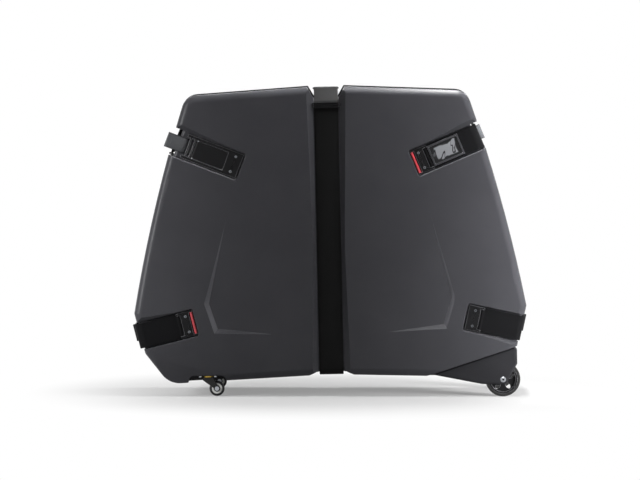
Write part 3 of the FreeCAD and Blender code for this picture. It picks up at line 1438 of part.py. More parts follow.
def opposite(label, front):
    """The rear shell's piece: the front one's mirror image in the parting plane."""
    piece = doc.addObject("Part::Mirroring", f"node_{label}")
    piece.Source = front
    piece.Normal = Vector(0, 1, 0)
    piece.Label = label
    pieces.append(piece)
    return piece


def both_shells(name, source, place=Placement()):
    opposite(f"rear_{name}", node(f"front_{name}", source, place))


both_shells("shell", build_shell())
node("front_rim", build_front_rim())
rear_rim = placed("rear_rim_leaned", build_rear_rim(), LEAN)
opposite("rear_rim", rear_rim)
node("rim_seal", build_seal())
both_shells("foam_liner", build_liner())

both_shells("strap", strap_band("strap_form", size.sleeve_play))
node("strap_adjuster", build_adjuster())
node("handle_sleeve", build_handle_sleeve())
node("strap_keeper", build_keeper())

wheel_reach, wheel_height = wheel_axis()
wheel_spot = Placement(Vector(wheel_reach.value, -size.wheel_depth.value, wheel_height.value), Rotation())
both_shells("wheel_housing", build_housing())
both_shells("wheel_tyre", build_tyre(), wheel_spot)
both_shells("wheel_hub", build_hub(), wheel_spot)
both_shells("wheel_axle", build_axle(), wheel_spot)

axle_reach, axle_height = castor_axle()
axle_spot = Placement(Vector(axle_reach.value, -size.castor_depth.value, axle_height.value), Rotation())
both_shells("castor_plate", build_castor_plate(), castor_spot())
both_shells("castor_race", build_race(), castor_spot())
both_shells("castor_fork", build_fork(), castor_spot())
both_shells("castor_bolts", build_castor_bolts(), castor_spot())
both_shells("castor_wheel", build_castor_wheel(), axle_spot)
both_shells("castor_axle", build_castor_axle(), axle_spot)

latch_base, release_tab, anchor_base = build_latch_base(), build_release_tab(), build_anchor_base()
levers = {level: build_lever(level) for level in RUNS}
anchor_strap, buckle_frame, buckle_lever = build_anchor_strap(), build_buckle_frame(), build_buckle_lever()
webbing, hinge_pin, cover_pin, plate_screws = build_webbing(), build_pin(), build_cover_pin(), build_screws()
LEVER_SIDES = {"lower": -1, "upper": 1}

for shell, turn in (("front", Placement()), ("rear", HALF_TURN)):
    spots = {(level, side): turn.multiply(closure_frame(level, side)) for level, side in CLOSURES}
    for level, side in LEVER_SIDES.items():
        spot = spots[level, side]
        node(f"{shell}_{level}_latch_base", latch_base, spot)
        node(f"{shell}_{level}_release_tab", release_tab, spot)
        node(f"{shell}_{level}_latch_lever", levers[level], spot)
    anchor_spot, buckle_spot = spots["lower", 1], spots["upper", -1]
    node(f"{shell}_anchor_base", anchor_base, anchor_spot)
    node(f"{shell}_anchor_strap", anchor_strap, anchor_spot)
    node(f"{shell}_buckle_frame", buckle_frame, buckle_spot)
    node(f"{shell}_buckle_lever", buckle_lever, buckle_spot)
    node(f"{shell}_webbing", webbing, buckle_spot)
    pins = [placed(f"{shell}_{level}_pin", hinge_pin, spots[level, side])
            for level, side in (("lower", -1), ("upper", 1), ("lower", 1))]
    pin_group = doc.addObject("Part::Compound", f"{shell}_pin_group")
    pin_group.Links = pins + [placed(f"{shell}_cover_pin", cover_pin, buckle_spot)]
    node(f"{shell}_hinge_pins", pin_group)
    screw_group = doc.addObject("Part::Compound", f"{shell}_screw_group")
    screw_group.Links = [placed(f"{shell}_screws_{level}_{side + 1}", plate_screws, spot)
                         for (level, side), spot in spots.items()]
    node(f"{shell}_plate_screws", screw_group)

card_spot = closure_frame("upper", 1)
node("card_holder", build_card_frame(), card_spot)
node("card_window", build_card_window(), card_spot)

doc.recompute()
failed = [item.Name for item in doc.Objects if "Invalid" in item.State or "Error" in item.State]
if failed:
    raise RuntimeError(f"could not be built: {failed}")
for piece in pieces:
    if piece.Shape.isNull() or not piece.Shape.isValid() or not piece.Shape.Solids:
        raise RuntimeError(f"no valid solid: {piece.Label}")

os.makedirs("parts", exist_ok=True)
for piece in pieces:
    piece.Shape.exportStep(f"parts/{piece.Label}.step")
print(len(pieces), "pieces written")
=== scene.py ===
# %% [markdown]
# # A hard bike travel case
# Two moulded half shells meet at an upright plane, and closures at the four corners of each face hold
# them. A webbing strap runs round the middle and makes the handle. Large wheels carry the right end, and
# swivel castors carry the left end. The rigid pieces come ready made from the solid model. This lesson
# gives them their finishes, makes the soft goods and the small trim, and lights the case as a studio
# would.

# %% Load the solid model
import json
import math

import bmesh
import bpy
from mathutils import Matrix, Vector

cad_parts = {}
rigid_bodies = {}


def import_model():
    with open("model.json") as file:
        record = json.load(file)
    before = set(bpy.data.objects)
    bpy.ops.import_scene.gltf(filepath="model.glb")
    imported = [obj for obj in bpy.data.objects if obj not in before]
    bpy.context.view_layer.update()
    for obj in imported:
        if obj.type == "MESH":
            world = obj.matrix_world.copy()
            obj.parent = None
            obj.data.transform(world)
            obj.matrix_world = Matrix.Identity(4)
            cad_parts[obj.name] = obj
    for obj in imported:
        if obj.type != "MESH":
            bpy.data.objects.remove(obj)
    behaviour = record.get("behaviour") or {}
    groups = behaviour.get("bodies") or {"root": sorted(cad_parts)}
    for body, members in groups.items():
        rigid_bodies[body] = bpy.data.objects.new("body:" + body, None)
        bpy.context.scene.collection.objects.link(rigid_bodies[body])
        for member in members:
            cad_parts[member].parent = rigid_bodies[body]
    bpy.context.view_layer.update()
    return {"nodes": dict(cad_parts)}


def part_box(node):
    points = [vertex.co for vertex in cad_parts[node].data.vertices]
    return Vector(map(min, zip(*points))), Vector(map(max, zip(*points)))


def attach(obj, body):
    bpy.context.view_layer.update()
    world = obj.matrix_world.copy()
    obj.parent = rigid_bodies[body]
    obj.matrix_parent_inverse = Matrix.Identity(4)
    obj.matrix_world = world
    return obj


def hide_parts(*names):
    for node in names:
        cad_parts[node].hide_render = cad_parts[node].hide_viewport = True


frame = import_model()
case_nodes = frame["nodes"]
print("solid pieces:", len(case_nodes))

# %% [markdown]
# ## One frame for every piece
# The case was drawn upright and then leaned by a little over a degree, because its wheels are taller than
# its castors. Soft pieces are laid out in the same upright frame, in millimetres, and one matrix leans
# them and turns them into metres. A closure has a frame of its own: along its recess, out of the face,
# and across. Each recess is written as its reach from the middle, its height and its tilt in degrees.

# %% The case's frames
LEAN_TURN = math.radians(1.2)
LEAN_HEIGHT = 233.0
HALF_DEPTH = 190.0
UPRIGHT = (Matrix.Scale(0.001, 4) @ Matrix.Translation((0, 0, LEAN_HEIGHT))
           @ Matrix.Rotation(-LEAN_TURN, 4, "Y") @ Matrix.Translation((0, 0, -LEAN_HEIGHT)))
RECESSES = {"upper": (272.0, 731.0, 22.0), "lower": (426.0, 245.0, -13.2)}
HALF_TURN = Matrix.Rotation(math.pi, 4, "Z")
SHELLS = ("front", "rear")


def closure_frame(shell, level, side):
    """Matrix of one recess, with side -1 at the left and 1 at the right as its own shell is faced."""
    reach, height, tilt = RECESSES[level]
    tilt = math.radians(tilt)
    along = Vector((side * math.cos(tilt), 0, math.sin(tilt)))
    outward = Vector((0, -1, 0))
    across = along.cross(outward)
    place = Matrix((along, outward, across)).transposed().to_4x4()
    place.translation = Vector((side * reach, -HALF_DEPTH, height))
    turn = HALF_TURN if shell == "rear" else Matrix.Identity(4)
    return UPRIGHT @ turn @ place


first_recess = closure_frame("front", "upper", 1).translation
print("upper right recess starts at", [round(c, 3) for c in first_recess])

# %% [markdown]
# ## Colours, nodes and objects
# Colours are written as the sRGB hex values that a picture editor shows, and one function turns them into
# the linear values that the shader works with. A second small function adds a node, sets it up and links
# it, and most of the others are short forms of it for sums, ramps and tones. The last puts an object in
# the scene.

# %% Helpers


def linear(hexed):
    """An sRGB hex colour as linear red, green, blue and an alpha of 1."""
    shares = [int(hexed[i:i + 2], 16) / 255 for i in (1, 3, 5)]
    return tuple(s / 12.92 if s <= 0.04045 else ((s + 0.055) / 1.055) ** 2.4 for s in shares) + (1.0,)


def add(tree, kind, inputs=None, **settings):
    """Add a node. Settings are its own options; inputs maps socket names or numbers to values or sockets."""
    made = tree.nodes.new(kind)
    for key, value in settings.items():
        setattr(made, key, value)
    for key, value in (inputs or {}).items():
        if isinstance(value, bpy.types.NodeSocket):
            tree.links.new(value, made.inputs[key])
        else:
            made.inputs[key].default_value = value
    return made


def principled(tree):
    """The Principled shader node of a material's tree."""
    return next(node for node in tree.nodes if node.type == "BSDF_PRINCIPLED")


def blank_material(name):
    """A material with a Principled shader, its tree, and Object coordinates in metres."""
    made = bpy.data.materials.new(name)
    made.use_nodes = True
    tree = made.node_tree
    place = add(tree, "ShaderNodeTexCoord").outputs["Object"]
    return made, tree, principled(tree), place


def two_tone(tree, factor, dark, light):
    """A colour that moves between two hex colours with a factor from 0 to 1."""
    ramp = add(tree, "ShaderNodeValToRGB", {"Fac": factor})
    ramp.color_ramp.elements[0].color = linear(dark)
    ramp.color_ramp.elements[1].color = linear(light)
    return ramp.outputs["Color"]


def span(tree, value, low, high):
    """A factor from 0 to 1 moved to lie between two numbers."""
    moved = add(tree, "ShaderNodeMapRange", {"Value": value, "To Min": low, "To Max": high})
    return moved.outputs["Result"]


def rise(tree, value, start, end):
    """A factor that goes from 0 to 1 as a value goes up or down from start to end."""
    ramp = add(tree, "ShaderNodeMapRange", {"Value": value, "From Min": start, "From Max": end})
    return ramp.outputs["Result"]


def calc(tree, operation, *values):
    """One sum on shader values, given as the operation and its numbers or sockets in order."""
    return add(tree, "ShaderNodeMath", dict(enumerate(values)), operation=operation).outputs["Value"]


def noise(tree, place, scale, detail):
    """A cloudy factor about 0.5, with a scale in clouds for each metre."""
    return add(tree, "ShaderNodeTexNoise", {"Vector": place, "Scale": scale, "Detail": detail}).outputs["Fac"]


def bumped(tree, height, strength, distance):
    """A normal that leans as a raised surface would, with the metres that a height of 1 stands for."""
    bump = add(tree, "ShaderNodeBump", {"Height": height, "Strength": strength, "Distance": distance})
    return bump.outputs["Normal"]


def seen_directly(tree):
    """1 for rays that show a surface to the camera, straight or in a mirror or glass, and 0 for its light."""
    ray = add(tree, "ShaderNodeLightPath").outputs
    mirrored = calc(tree, "MAXIMUM", ray["Is Camera Ray"], ray["Is Glossy Ray"])
    return calc(tree, "MAXIMUM", mirrored, ray["Is Transmission Ray"])


def put_in_scene(name, data):
    """A new object of the scene that holds a mesh, a light or a camera."""
    made = bpy.data.objects.new(name, data)
    bpy.context.scene.collection.objects.link(made)
    return made


print("a middle grey in linear light:", round(linear("#808080")[0], 3))

# %% [markdown]
# ## Moulded plastics
# The shells are thermoformed ABS. The sheet has a fine leather grain, about a millimetre across, which
# breaks up reflections into a soft sheen. At this picture size a millimetre is a third of a pixel, so the
# grain is drawn 3 mm wide to show at all. Clouds of a slightly different tone and roughness stand for
# handling. The fittings are glass filled nylon, with less grain and a deeper black, and the card's border
# is embossed vinyl, with a stronger grain.

# %% Plastics


def moulded_plastic(name, dark, light, grain_mm, roughness, bump, specular=0.5):
    """Plastic with two close tones in soft clouds, a moulded grain and uneven gloss."""
    made, tree, shader, place = blank_material(name)
    clouds = noise(tree, place, 9.0, 4.0)
    cells = add(tree, "ShaderNodeTexVoronoi", {"Vector": place, "Scale": 1000 / grain_mm},
                feature="SMOOTH_F1")
    pits = noise(tree, place, 400 / grain_mm, 2.0)
    relief = calc(tree, "ADD", cells.outputs["Distance"], pits)
    tree.links.new(two_tone(tree, clouds, dark, light), shader.inputs["Base Color"])
    tree.links.new(span(tree, clouds, roughness - 0.05, roughness + 0.07), shader.inputs["Roughness"])
    tree.links.new(bumped(tree, relief, bump, 0.0003), shader.inputs["Normal"])
    shader.inputs["IOR"].default_value = 1.5
    shader.inputs["Specular IOR Level"].default_value = specular
    return made


shell_abs = moulded_plastic("thermoformed_ABS", "#2b2b2e", "#333336", 3.0, 0.36, 0.22, 0.1)
# The edge finishes are much paler than the faces: a painted highlight along the bevels.
shell_edge_highlight = moulded_plastic("ABS_edge_painted_highlight", "#5c5c60", "#6c6c70", 3.0, 0.32, 0.1, 0.4)
housing_nylon = moulded_plastic("moulded_nylon_corner", "#1a1a1c", "#212123", 2.0, 0.46, 0.2, 0.08)
rim_pvc = moulded_plastic("extruded_PVC_rim", "#0a0a0b", "#101011", 2.0, 0.45, 0.08, 0.06)
fitting_nylon = moulded_plastic("glass_filled_nylon", "#0e0e0f", "#161617", 1.6, 0.36, 0.2, 0.08)
fitting_edge_highlight = moulded_plastic("nylon_edge_painted_highlight", "#666669", "#7a7a7e", 1.6, 0.3, 0.1, 0.4)
border_vinyl = moulded_plastic("embossed_vinyl_border", "#262628", "#363639", 1.2, 0.4, 0.5, 0.15)
flap_urethane = moulded_plastic("cast_urethane_flap", "#0e0e0f", "#131314", 4.0, 0.5, 0.1, 0.015)
castor_nylon = moulded_plastic("castor_nylon", "#18181a", "#222224", 1.6, 0.36, 0.15, 0.25)
pale_nylon = moulded_plastic("natural_nylon_ring", "#cdcdca", "#dcdcd9", 1.6, 0.35, 0.1)

release_red, red_tree, red_shader, red_place = blank_material("glossy_red_ABS")
red_clouds = noise(red_tree, red_place, 40.0, 3.0)
red_tree.links.new(two_tone(red_tree, red_clouds, "#8e2029", "#9e2a34"), red_shader.inputs["Base Color"])
red_tree.links.new(span(red_tree, red_clouds, 0.24, 0.36), red_shader.inputs["Roughness"])
red_shader.inputs["Coat Weight"].default_value = 0.2
print("plastics:", shell_abs.name, fitting_nylon.name, release_red.name)

# %% [markdown]
# ## Painted light on the flanks
# The flanks of the sunk side panels are paler than the faces beside them: a painted highlight for the light
# that they catch. They are found by the way they face: on the front or rear, leaning towards the middle
# of the case, and outside the strap's groove, whose sides lean the same way.

# %% A paler tone painted on the panels' flanks as caught light
FLANK_LEAN = (-0.1, -0.3)
FACE_LEAN = (0.4, 0.5)
GROOVE_REACH = (0.1, 0.12)


def paint_flank_light(material, tone):
    """Mix a paler tone, a painted highlight, into a shell's colour where the surface is a flank of a sunk
    panel.
    """
    tree = material.node_tree
    colour = principled(tree).inputs["Base Color"]
    grained = colour.links[0].from_socket
    coordinates = add(tree, "ShaderNodeTexCoord").outputs
    place = add(tree, "ShaderNodeSeparateXYZ", {"Vector": coordinates["Object"]}).outputs
    facing = add(tree, "ShaderNodeSeparateXYZ", {"Vector": coordinates["Normal"]}).outputs
    outward = calc(tree, "MULTIPLY", facing["X"], calc(tree, "SIGN", place["X"]))
    inward = rise(tree, outward, *FLANK_LEAN)
    past_groove = rise(tree, calc(tree, "ABSOLUTE", place["X"]), *GROOVE_REACH)
    on_face = rise(tree, calc(tree, "ABSOLUTE", facing["Y"]), *FACE_LEAN)
    share = calc(tree, "MULTIPLY", calc(tree, "MULTIPLY", inward, past_groove), on_face)
    mixed = add(tree, "ShaderNodeMix", {0: share, 6: grained, 7: linear(tone)}, data_type="RGBA")
    tree.links.new(mixed.outputs[2], colour)


# The shells' flanks get a paler tone that stands in for the light they catch: painted light.
paint_flank_light(shell_abs, "#505054")
print("painted flank light on:", shell_abs.name)

# %% [markdown]
# ## Rubber and foam
# The tyres are moulded urethane with a dull bloom. The seal is black rubber, and the liner is open foam,
# whose cells scatter light and give it no gloss at all.

# %% Rubber and foam


def dull_rubber(name, dark, light, roughness, cell_mm, bump):
    """Rubber or foam: rough, with fine cells and a dusty bloom in patches."""
    made, tree, shader, place = blank_material(name)
    bloom = noise(tree, place, 60.0, 5.0)
    cells = add(tree, "ShaderNodeTexVoronoi", {"Vector": place, "Scale": 1000 / cell_mm}).outputs["Distance"]
    tree.links.new(two_tone(tree, bloom, dark, light), shader.inputs["Base Color"])
    tree.links.new(bumped(tree, cells, bump, 0.0004), shader.inputs["Normal"])
    shader.inputs["Roughness"].default_value = roughness
    shader.inputs["Specular IOR Level"].default_value = 0.3
    return made


tyre_urethane = dull_rubber("moulded_urethane_tyre", "#161616", "#242424", 0.6, 3.0, 0.25)
seal_rubber = dull_rubber("black_seal_rubber", "#0f0f0f", "#191919", 0.7, 2.0, 0.2)
liner_foam = dull_rubber("open_cell_foam", "#333335", "#444447", 0.95, 4.0, 0.8)
print("rubber and foam:", tyre_urethane.name, seal_rubber.name, liner_foam.name)

# %% [markdown]
# ## Window film
# The window over the card is soft PVC film. A creased, pale patch is painted on it as a reflection, with a
# ragged edge and a dark margin. One stretched noise makes both the creases and the ragged edge. The film's
# own frame starts at the middle of the window and is turned with the closure, so that the margin follows the
# window's four sides.

# %% Film with a painted reflection
WINDOW_HALF_LENGTH, WINDOW_HALF_WIDTH = 0.0455, 0.0275
FOLD_TURN, FOLD_STRETCH = math.radians(-28), (70.0, 40.0, 24.0)
EDGE_RAGGEDNESS, REFLECTION_EDGE = 0.9, (1.22, 1.14)
CREASE, CREASE_SIDES = 0.455, (0.012, 0.026)
film_pvc, film_tree, film_shader, film_place = blank_material("folded_PVC_film")
stretched = add(film_tree, "ShaderNodeMapping",
                {"Vector": film_place, "Rotation": (0, FOLD_TURN, 0), "Scale": FOLD_STRETCH})
fold_noise = add(film_tree, "ShaderNodeTexNoise",
                 {"Vector": stretched.outputs["Vector"], "Scale": 0.6, "Detail": 0.5, "Distortion": 0.8})
folds = fold_noise.outputs["Fac"]
window_corners = [Vector(corner) for corner in case_nodes["card_window"].bound_box]
window_centre = sum(window_corners, Vector()) / len(window_corners)
window_turn = math.radians(RECESSES["upper"][2]) + LEAN_TURN
from_centre = add(film_tree, "ShaderNodeVectorMath", {0: film_place, 1: window_centre}, operation="SUBTRACT")
in_window = add(film_tree, "ShaderNodeMapping",
                {"Vector": from_centre.outputs["Vector"], "Rotation": (0, window_turn, 0)}).outputs["Vector"]
axes = add(film_tree, "ShaderNodeSeparateXYZ", {"Vector": in_window}).outputs
along_share = calc(film_tree, "ABSOLUTE", calc(film_tree, "DIVIDE", axes["X"], WINDOW_HALF_LENGTH))
across_share = calc(film_tree, "ABSOLUTE", calc(film_tree, "DIVIDE", axes["Z"], WINDOW_HALF_WIDTH))
nearest_edge = calc(film_tree, "MAXIMUM", along_share, across_share)
# card marks the pale patch: a painted reflection on the folded film, with a ragged edge and a dark margin.
card = rise(film_tree, calc(film_tree, "MULTIPLY_ADD", folds, EDGE_RAGGEDNESS, nearest_edge), *REFLECTION_EDGE)
from_crease = calc(film_tree, "ABSOLUTE", calc(film_tree, "SUBTRACT", folds, CREASE))
pale = calc(film_tree, "MULTIPLY", card, rise(film_tree, from_crease, *CREASE_SIDES))
# The light tone is the painted reflection; the dark one is the film itself.
film_tree.links.new(two_tone(film_tree, pale, "#0c0c0d", "#646568"), film_shader.inputs["Base Color"])
film_tree.links.new(bumped(film_tree, folds, 0.35, 0.002), film_shader.inputs["Normal"])
film_shader.inputs["Roughness"].default_value = 0.4
film_shader.inputs["Specular IOR Level"].default_value = 0.2
print("film:", film_pvc.name)

# %% [markdown]
# ## Metals
# The axles, bolts and pins are zinc plated steel: bright, a little blue, with a cloudy plating. The plate
# screws are blackened. The castor race has a yellow passivated plating. The castor's plate and fork are
# pressed steel under satin black paint, which is a dielectric coat, so they aren't metallic.

# %% Metals


def plated_steel(name, dark, light, roughness):
    """Bare plated metal, with the uneven tone of a barrel plating."""
    made, tree, shader, place = blank_material(name)
    plating = noise(tree, place, 300.0, 4.0)
    tree.links.new(two_tone(tree, plating, dark, light), shader.inputs["Base Color"])
    tree.links.new(span(tree, plating, roughness - 0.06, roughness + 0.1), shader.inputs["Roughness"])
    shader.inputs["Metallic"].default_value = 1.0
    return made


zinc_steel = plated_steel("zinc_plated_steel", "#9599a0", "#bcbfc3", 0.3)
screw_steel = plated_steel("blackened_zinc_screw", "#5a5d61", "#83868a", 0.36)
yellow_zinc = plated_steel("yellow_passivated_zinc", "#8f7530", "#c3a552", 0.35)
# The sockets' near-black metal is painted shade for the hex holes.
socket_painted_shade = plated_steel("hex_socket_painted_shade", "#1a1a1b", "#262627", 0.5)
painted_steel = moulded_plastic("satin_black_painted_steel", "#151515", "#1e1e1e", 2.5, 0.3, 0.06, 0.25)
print("metals:", zinc_steel.name, yellow_zinc.name)

# %% [markdown]
# ## Woven webbing
# The strap is nylon webbing, woven in a herringbone whose threads are about a millimetre thick. The
# pattern follows the strap's own length and width, which its UV map holds in metres. A thread of 1 mm
# can't show at this size, so the weave is drawn with a pitch of 4 mm. Slanted waves, mirrored about each
# rib, make the herringbone, and the same waves push the surface in and out. The selvedges, where the weft
# turns back, are denser and darker.

# %% Webbing material
SELVEDGE, RIB_PITCHES = 0.004, 3


def woven_webbing(name, dark, light, pitch_mm, width_mm):
    """Herringbone webbing on the UV map, with u along the band and v across it, both in metres."""
    made, tree, shader, _ = blank_material(name)
    flat = add(tree, "ShaderNodeUVMap", uv_map="weave").outputs["UV"]
    parts = add(tree, "ShaderNodeSeparateXYZ", {"Vector": flat}).outputs
    rate = 2 * math.pi * 1000 / pitch_mm
    across = calc(tree, "PINGPONG", parts["Y"], RIB_PITCHES * pitch_mm / 1000)
    slant = calc(tree, "ADD", parts["X"], across)
    wave = calc(tree, "SINE", calc(tree, "MULTIPLY", slant, rate))
    thread = calc(tree, "MULTIPLY_ADD", wave, 0.5, 0.5)
    edge = width_mm / 2000
    inner = rise(tree, calc(tree, "ABSOLUTE", parts["Y"]), edge, edge - SELVEDGE)
    woven = calc(tree, "MULTIPLY", thread, inner)
    tree.links.new(two_tone(tree, woven, dark, light), shader.inputs["Base Color"])
    tree.links.new(bumped(tree, thread, 0.5, 0.0006), shader.inputs["Normal"])
    shader.inputs["Roughness"].default_value = 0.75
    shader.inputs["Specular IOR Level"].default_value = 0.06
    return made


strap_nylon = woven_webbing("black_nylon_webbing", "#080808", "#0f0f0f", 4.0, 76.0)
handle_nylon = woven_webbing("handle_webbing", "#343434", "#464646", 4.0, 84.0)
tail_nylon = woven_webbing("grey_webbing", "#232425", "#58595c", 4.0, 48.0)
thread_polyester = dull_rubber("polyester_thread", "#4a4a4b", "#5c5c5d", 0.6, 1.0, 0.3)
print("webbing:", strap_nylon.name, tail_nylon.name)

# %% [markdown]
# ## Finishes for the rigid pieces
# Each solid piece keeps its shape and gets the finish of the real one. Real mouldings have no knife
# edges, so a weld and a small bevel are laid over each piece, which lets its edges catch the light.
# Weighted normals then keep the large faces flat right up to their bevels. The bevels of the shells, the
# fittings and the card's border take a second finish, paler and smoother: a painted highlight along the
# edges. The table gives the ending of a piece's name, its finish and its bevel in millimetres.

# %% Put the finishes on
FINISHES = [
    ("_shell", shell_abs, 1.2),
    ("_rim", rim_pvc, 0.6),
    ("rim_seal", seal_rubber, 0.0),
    ("_wheel_housing", housing_nylon, 0.8),
    ("_wheel_tyre", tyre_urethane, 0.0),
    ("_wheel_hub", fitting_nylon, 0.5),
    ("_wheel_axle", zinc_steel, 0.3),
    ("_castor_plate", painted_steel, 0.3),
    ("_castor_race", yellow_zinc, 0.4),
    ("_castor_fork", painted_steel, 0.5),
    ("_castor_bolts", zinc_steel, 0.5),
    ("_castor_wheel", castor_nylon, 0.3),
    ("_castor_axle", zinc_steel, 0.4),
    ("_latch_base", fitting_nylon, 0.8),
    ("_release_tab", release_red, 0.5),
    ("_latch_lever", flap_urethane, 0.9),
    ("_anchor_base", fitting_nylon, 0.8),
    ("_anchor_strap", flap_urethane, 0.8),
    ("_buckle_frame", fitting_nylon, 0.8),
    ("_buckle_lever", fitting_nylon, 0.9),
    ("_hinge_pins", zinc_steel, 0.4),
    ("_plate_screws", screw_steel, 0.0),
    ("card_holder", border_vinyl, 1.4),
    ("card_window", film_pvc, 0.0),
    ("strap_adjuster", fitting_nylon, 0.8),
]
EDGE_HIGHLIGHTS = {shell_abs: shell_edge_highlight, fitting_nylon: fitting_edge_highlight, border_vinyl: fitting_edge_highlight}
SHARP_TURN, WELD_GAP = math.radians(32), 0.00001


def weld_seams(piece):
    """Join the vertices that the solid model's faces hold twice along their common edges."""
    piece.modifiers.new("weld", "WELD").merge_threshold = WELD_GAP


def smooth_all(mesh):
    """Shade every face smooth."""
    for polygon in mesh.polygons:
        polygon.use_smooth = True


finished = 0
for node_name, solid in case_nodes.items():
    for ending, finish, edge_mm in FINISHES:
        if not node_name.endswith(ending):
            continue
        solid.data.materials.clear()
        solid.data.materials.append(finish)
        weld_seams(solid)
        if edge_mm:
            # The bevels take the paler edge finish, a painted highlight.
            solid.data.materials.append(EDGE_HIGHLIGHTS.get(finish, finish))
            bevel = solid.modifiers.new("edge", "BEVEL")
            bevel.width = edge_mm / 1000
            bevel.segments = 2
            bevel.limit_method = "ANGLE"
            bevel.angle_limit = SHARP_TURN
            bevel.material = 1
            flats = solid.modifiers.new("flat_faces", "WEIGHTED_NORMAL")
            flats.weight = 100
        else:
            split = solid.modifiers.new("sharp_edges", "EDGE_SPLIT")
            split.split_angle = SHARP_TURN
        smooth_all(solid.data)
        finished += 1
        break
print("solid pieces with a finish:", finished)

# %% [markdown]
# ## Bands of webbing
# Webbing is woven flat and bends only one way, so a band is a section swept along a flat path: straight
# runs with an arc where it turns. The section has soft, slightly thinner selvedges. The UV map holds the
# true length and width, which the weave follows.

# %% A band along a bent path
THIN_EDGE, FULL_EDGE, THIN_SHARE = 0.6, 2.0, 0.6


def bent_path(corners, radius, arc_steps=8):
    """Points along straight runs joined by arcs of one radius, as two numbers each."""
    path = [Vector(corners[0])]
    for before, corner, after in zip(corners, corners[1:], corners[2:]):
        corner = Vector(corner)
        arrive = (corner - Vector(before)).normalized()
        leave = (Vector(after) - corner).normalized()
        turn = arrive.angle_signed(leave) * -1
        reach = radius * math.tan(abs(turn) / 2)
        start = corner - arrive * reach
        side = 1 if turn > 0 else -1
        centre = start + Vector((-arrive.y, arrive.x)) * radius * side
        for step in range(arc_steps + 1):
            spin = Matrix.Rotation(turn * step / arc_steps, 2)
            path.append(centre + spin @ (start - centre))
    path.append(Vector(corners[-1]))
    return path


def even_path(path, step):
    """The same path with points no further apart than a step, so that long runs can be shaded evenly."""
    finer = [path[0]]
    for start, finish in zip(path, path[1:]):
        pieces = max(1, math.ceil((finish - start).length / step))
        finer += [start.lerp(finish, number / pieces) for number in range(1, pieces + 1)]
    return finer


def join_rings(mesh, rings):
    """Join each ring of vertices to the next with four-sided faces, and give those faces."""
    faces = []
    for ring, following in zip(rings, rings[1:]):
        for here in range(len(ring)):
            beside = (here + 1) % len(ring)
            faces.append(mesh.faces.new([ring[here], ring[beside], following[beside], following[here]]))
    return faces


def skinned(name, mesh, finish, smooth=True):
    """Turn joined rings into an object, with smooth sides and flat end caps, or with every face flat."""
    bmesh.ops.recalc_face_normals(mesh, faces=mesh.faces)
    data = bpy.data.meshes.new(name)
    mesh.to_mesh(data)
    mesh.free()
    data.materials.append(finish)
    for polygon in data.polygons:
        polygon.use_smooth = smooth and len(polygon.vertices) == 4
    return put_in_scene(name, data)


def webbing_band(name, path, width, thick, to_case, finish):
    """Sweep a flat section along a path in millimetres; to_case(along, out, across) gives metres."""
    half, edge = width / 2, thick / 2
    under = [(-half, 0.0), (-half + THIN_EDGE, -THIN_SHARE * edge), (-half + FULL_EDGE, -edge),
             (half - FULL_EDGE, -edge), (half - THIN_EDGE, -THIN_SHARE * edge)]
    section = under + [(-across, -out) for across, out in under]
    mesh = bmesh.new()
    weave = mesh.loops.layers.uv.new("weave")
    rings, flat, walked = [], {}, 0.0
    for index, point in enumerate(path):
        ahead = path[min(index + 1, len(path) - 1)] - path[max(index - 1, 0)]
        left = Vector((-ahead.y, ahead.x)).normalized()
        if index:
            walked += (point - path[index - 1]).length / 1000
        ring = []
        for across, out in section:
            spot = point + left * out
            vertex = mesh.verts.new(to_case(spot.x, spot.y, across))
            flat[vertex] = (walked, across / 1000)
            ring.append(vertex)
        rings.append(ring)
    for face in join_rings(mesh, rings) + [mesh.faces.new(rings[0]), mesh.faces.new(rings[-1])]:
        for loop in face.loops:
            loop[weave].uv = flat[loop.vert]
    return skinned(name, mesh, finish)


print("points in a path with one turn:", len(bent_path([(0, 0), (50, 0), (50, 50)], 10.0)))

# %% [markdown]
# ## The centre strap
# The strap lies in a groove of each shell, goes under the case through a keeper and over the top as the
# handle. The front half belongs to the front shell and the rear half to the rear shell: they part inside
# the handle's sleeve and the keeper when the case is opened. The path is the strap's middle line, so it
# is lifted off the groove by half the strap's thickness and a small gap, and its corners shift to keep
# that gap on the ramps.

# %% The two halves of the strap
STRAP_WIDTH, STRAP_THICK, STRAP_BEND = 76.0, 2.8, 10.5
GROOVE_FLOOR = -174.3
STRAP_LOW, STRAP_TOP, RAMP_FOOT, RAMP_SLOPE = 72.3, 973.0, 931.3, 14.0 / 30.0
STRAP_PLAY, LOW_RAMP = 0.4, 12.0
STRAP_LIFT, LOW_SHIFT, FOOT_SHIFT, CREST_SHIFT = 1.5, 0.6, 1.0, 0.3
STRAP_STEP = 30.0
CREST = GROOVE_FLOOR + (STRAP_TOP - RAMP_FOOT) / RAMP_SLOPE
STRAP_CORNERS = [
    (-STRAP_PLAY, STRAP_LOW - STRAP_LIFT),
    (GROOVE_FLOOR + LOW_RAMP - LOW_SHIFT, STRAP_LOW - STRAP_LIFT),
    (GROOVE_FLOOR - STRAP_LIFT, STRAP_LOW + LOW_RAMP - LOW_SHIFT),
    (GROOVE_FLOOR - STRAP_LIFT, RAMP_FOOT + FOOT_SHIFT),
    (CREST - CREST_SHIFT, STRAP_TOP + STRAP_LIFT),
    (-STRAP_PLAY, STRAP_TOP + STRAP_LIFT),
]
strap_path = even_path(bent_path(STRAP_CORNERS, STRAP_BEND), STRAP_STEP)
for shell in SHELLS:
    flip = 1 if shell == "front" else -1
    strap = webbing_band(f"{shell}_strap_webbing", strap_path, STRAP_WIDTH, STRAP_THICK,
                         lambda along, out, across, f=flip: UPRIGHT @ Vector((across, f * along, out)),
                         strap_nylon)
    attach(strap, f"{shell}_shell")
    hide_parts(f"{shell}_strap")
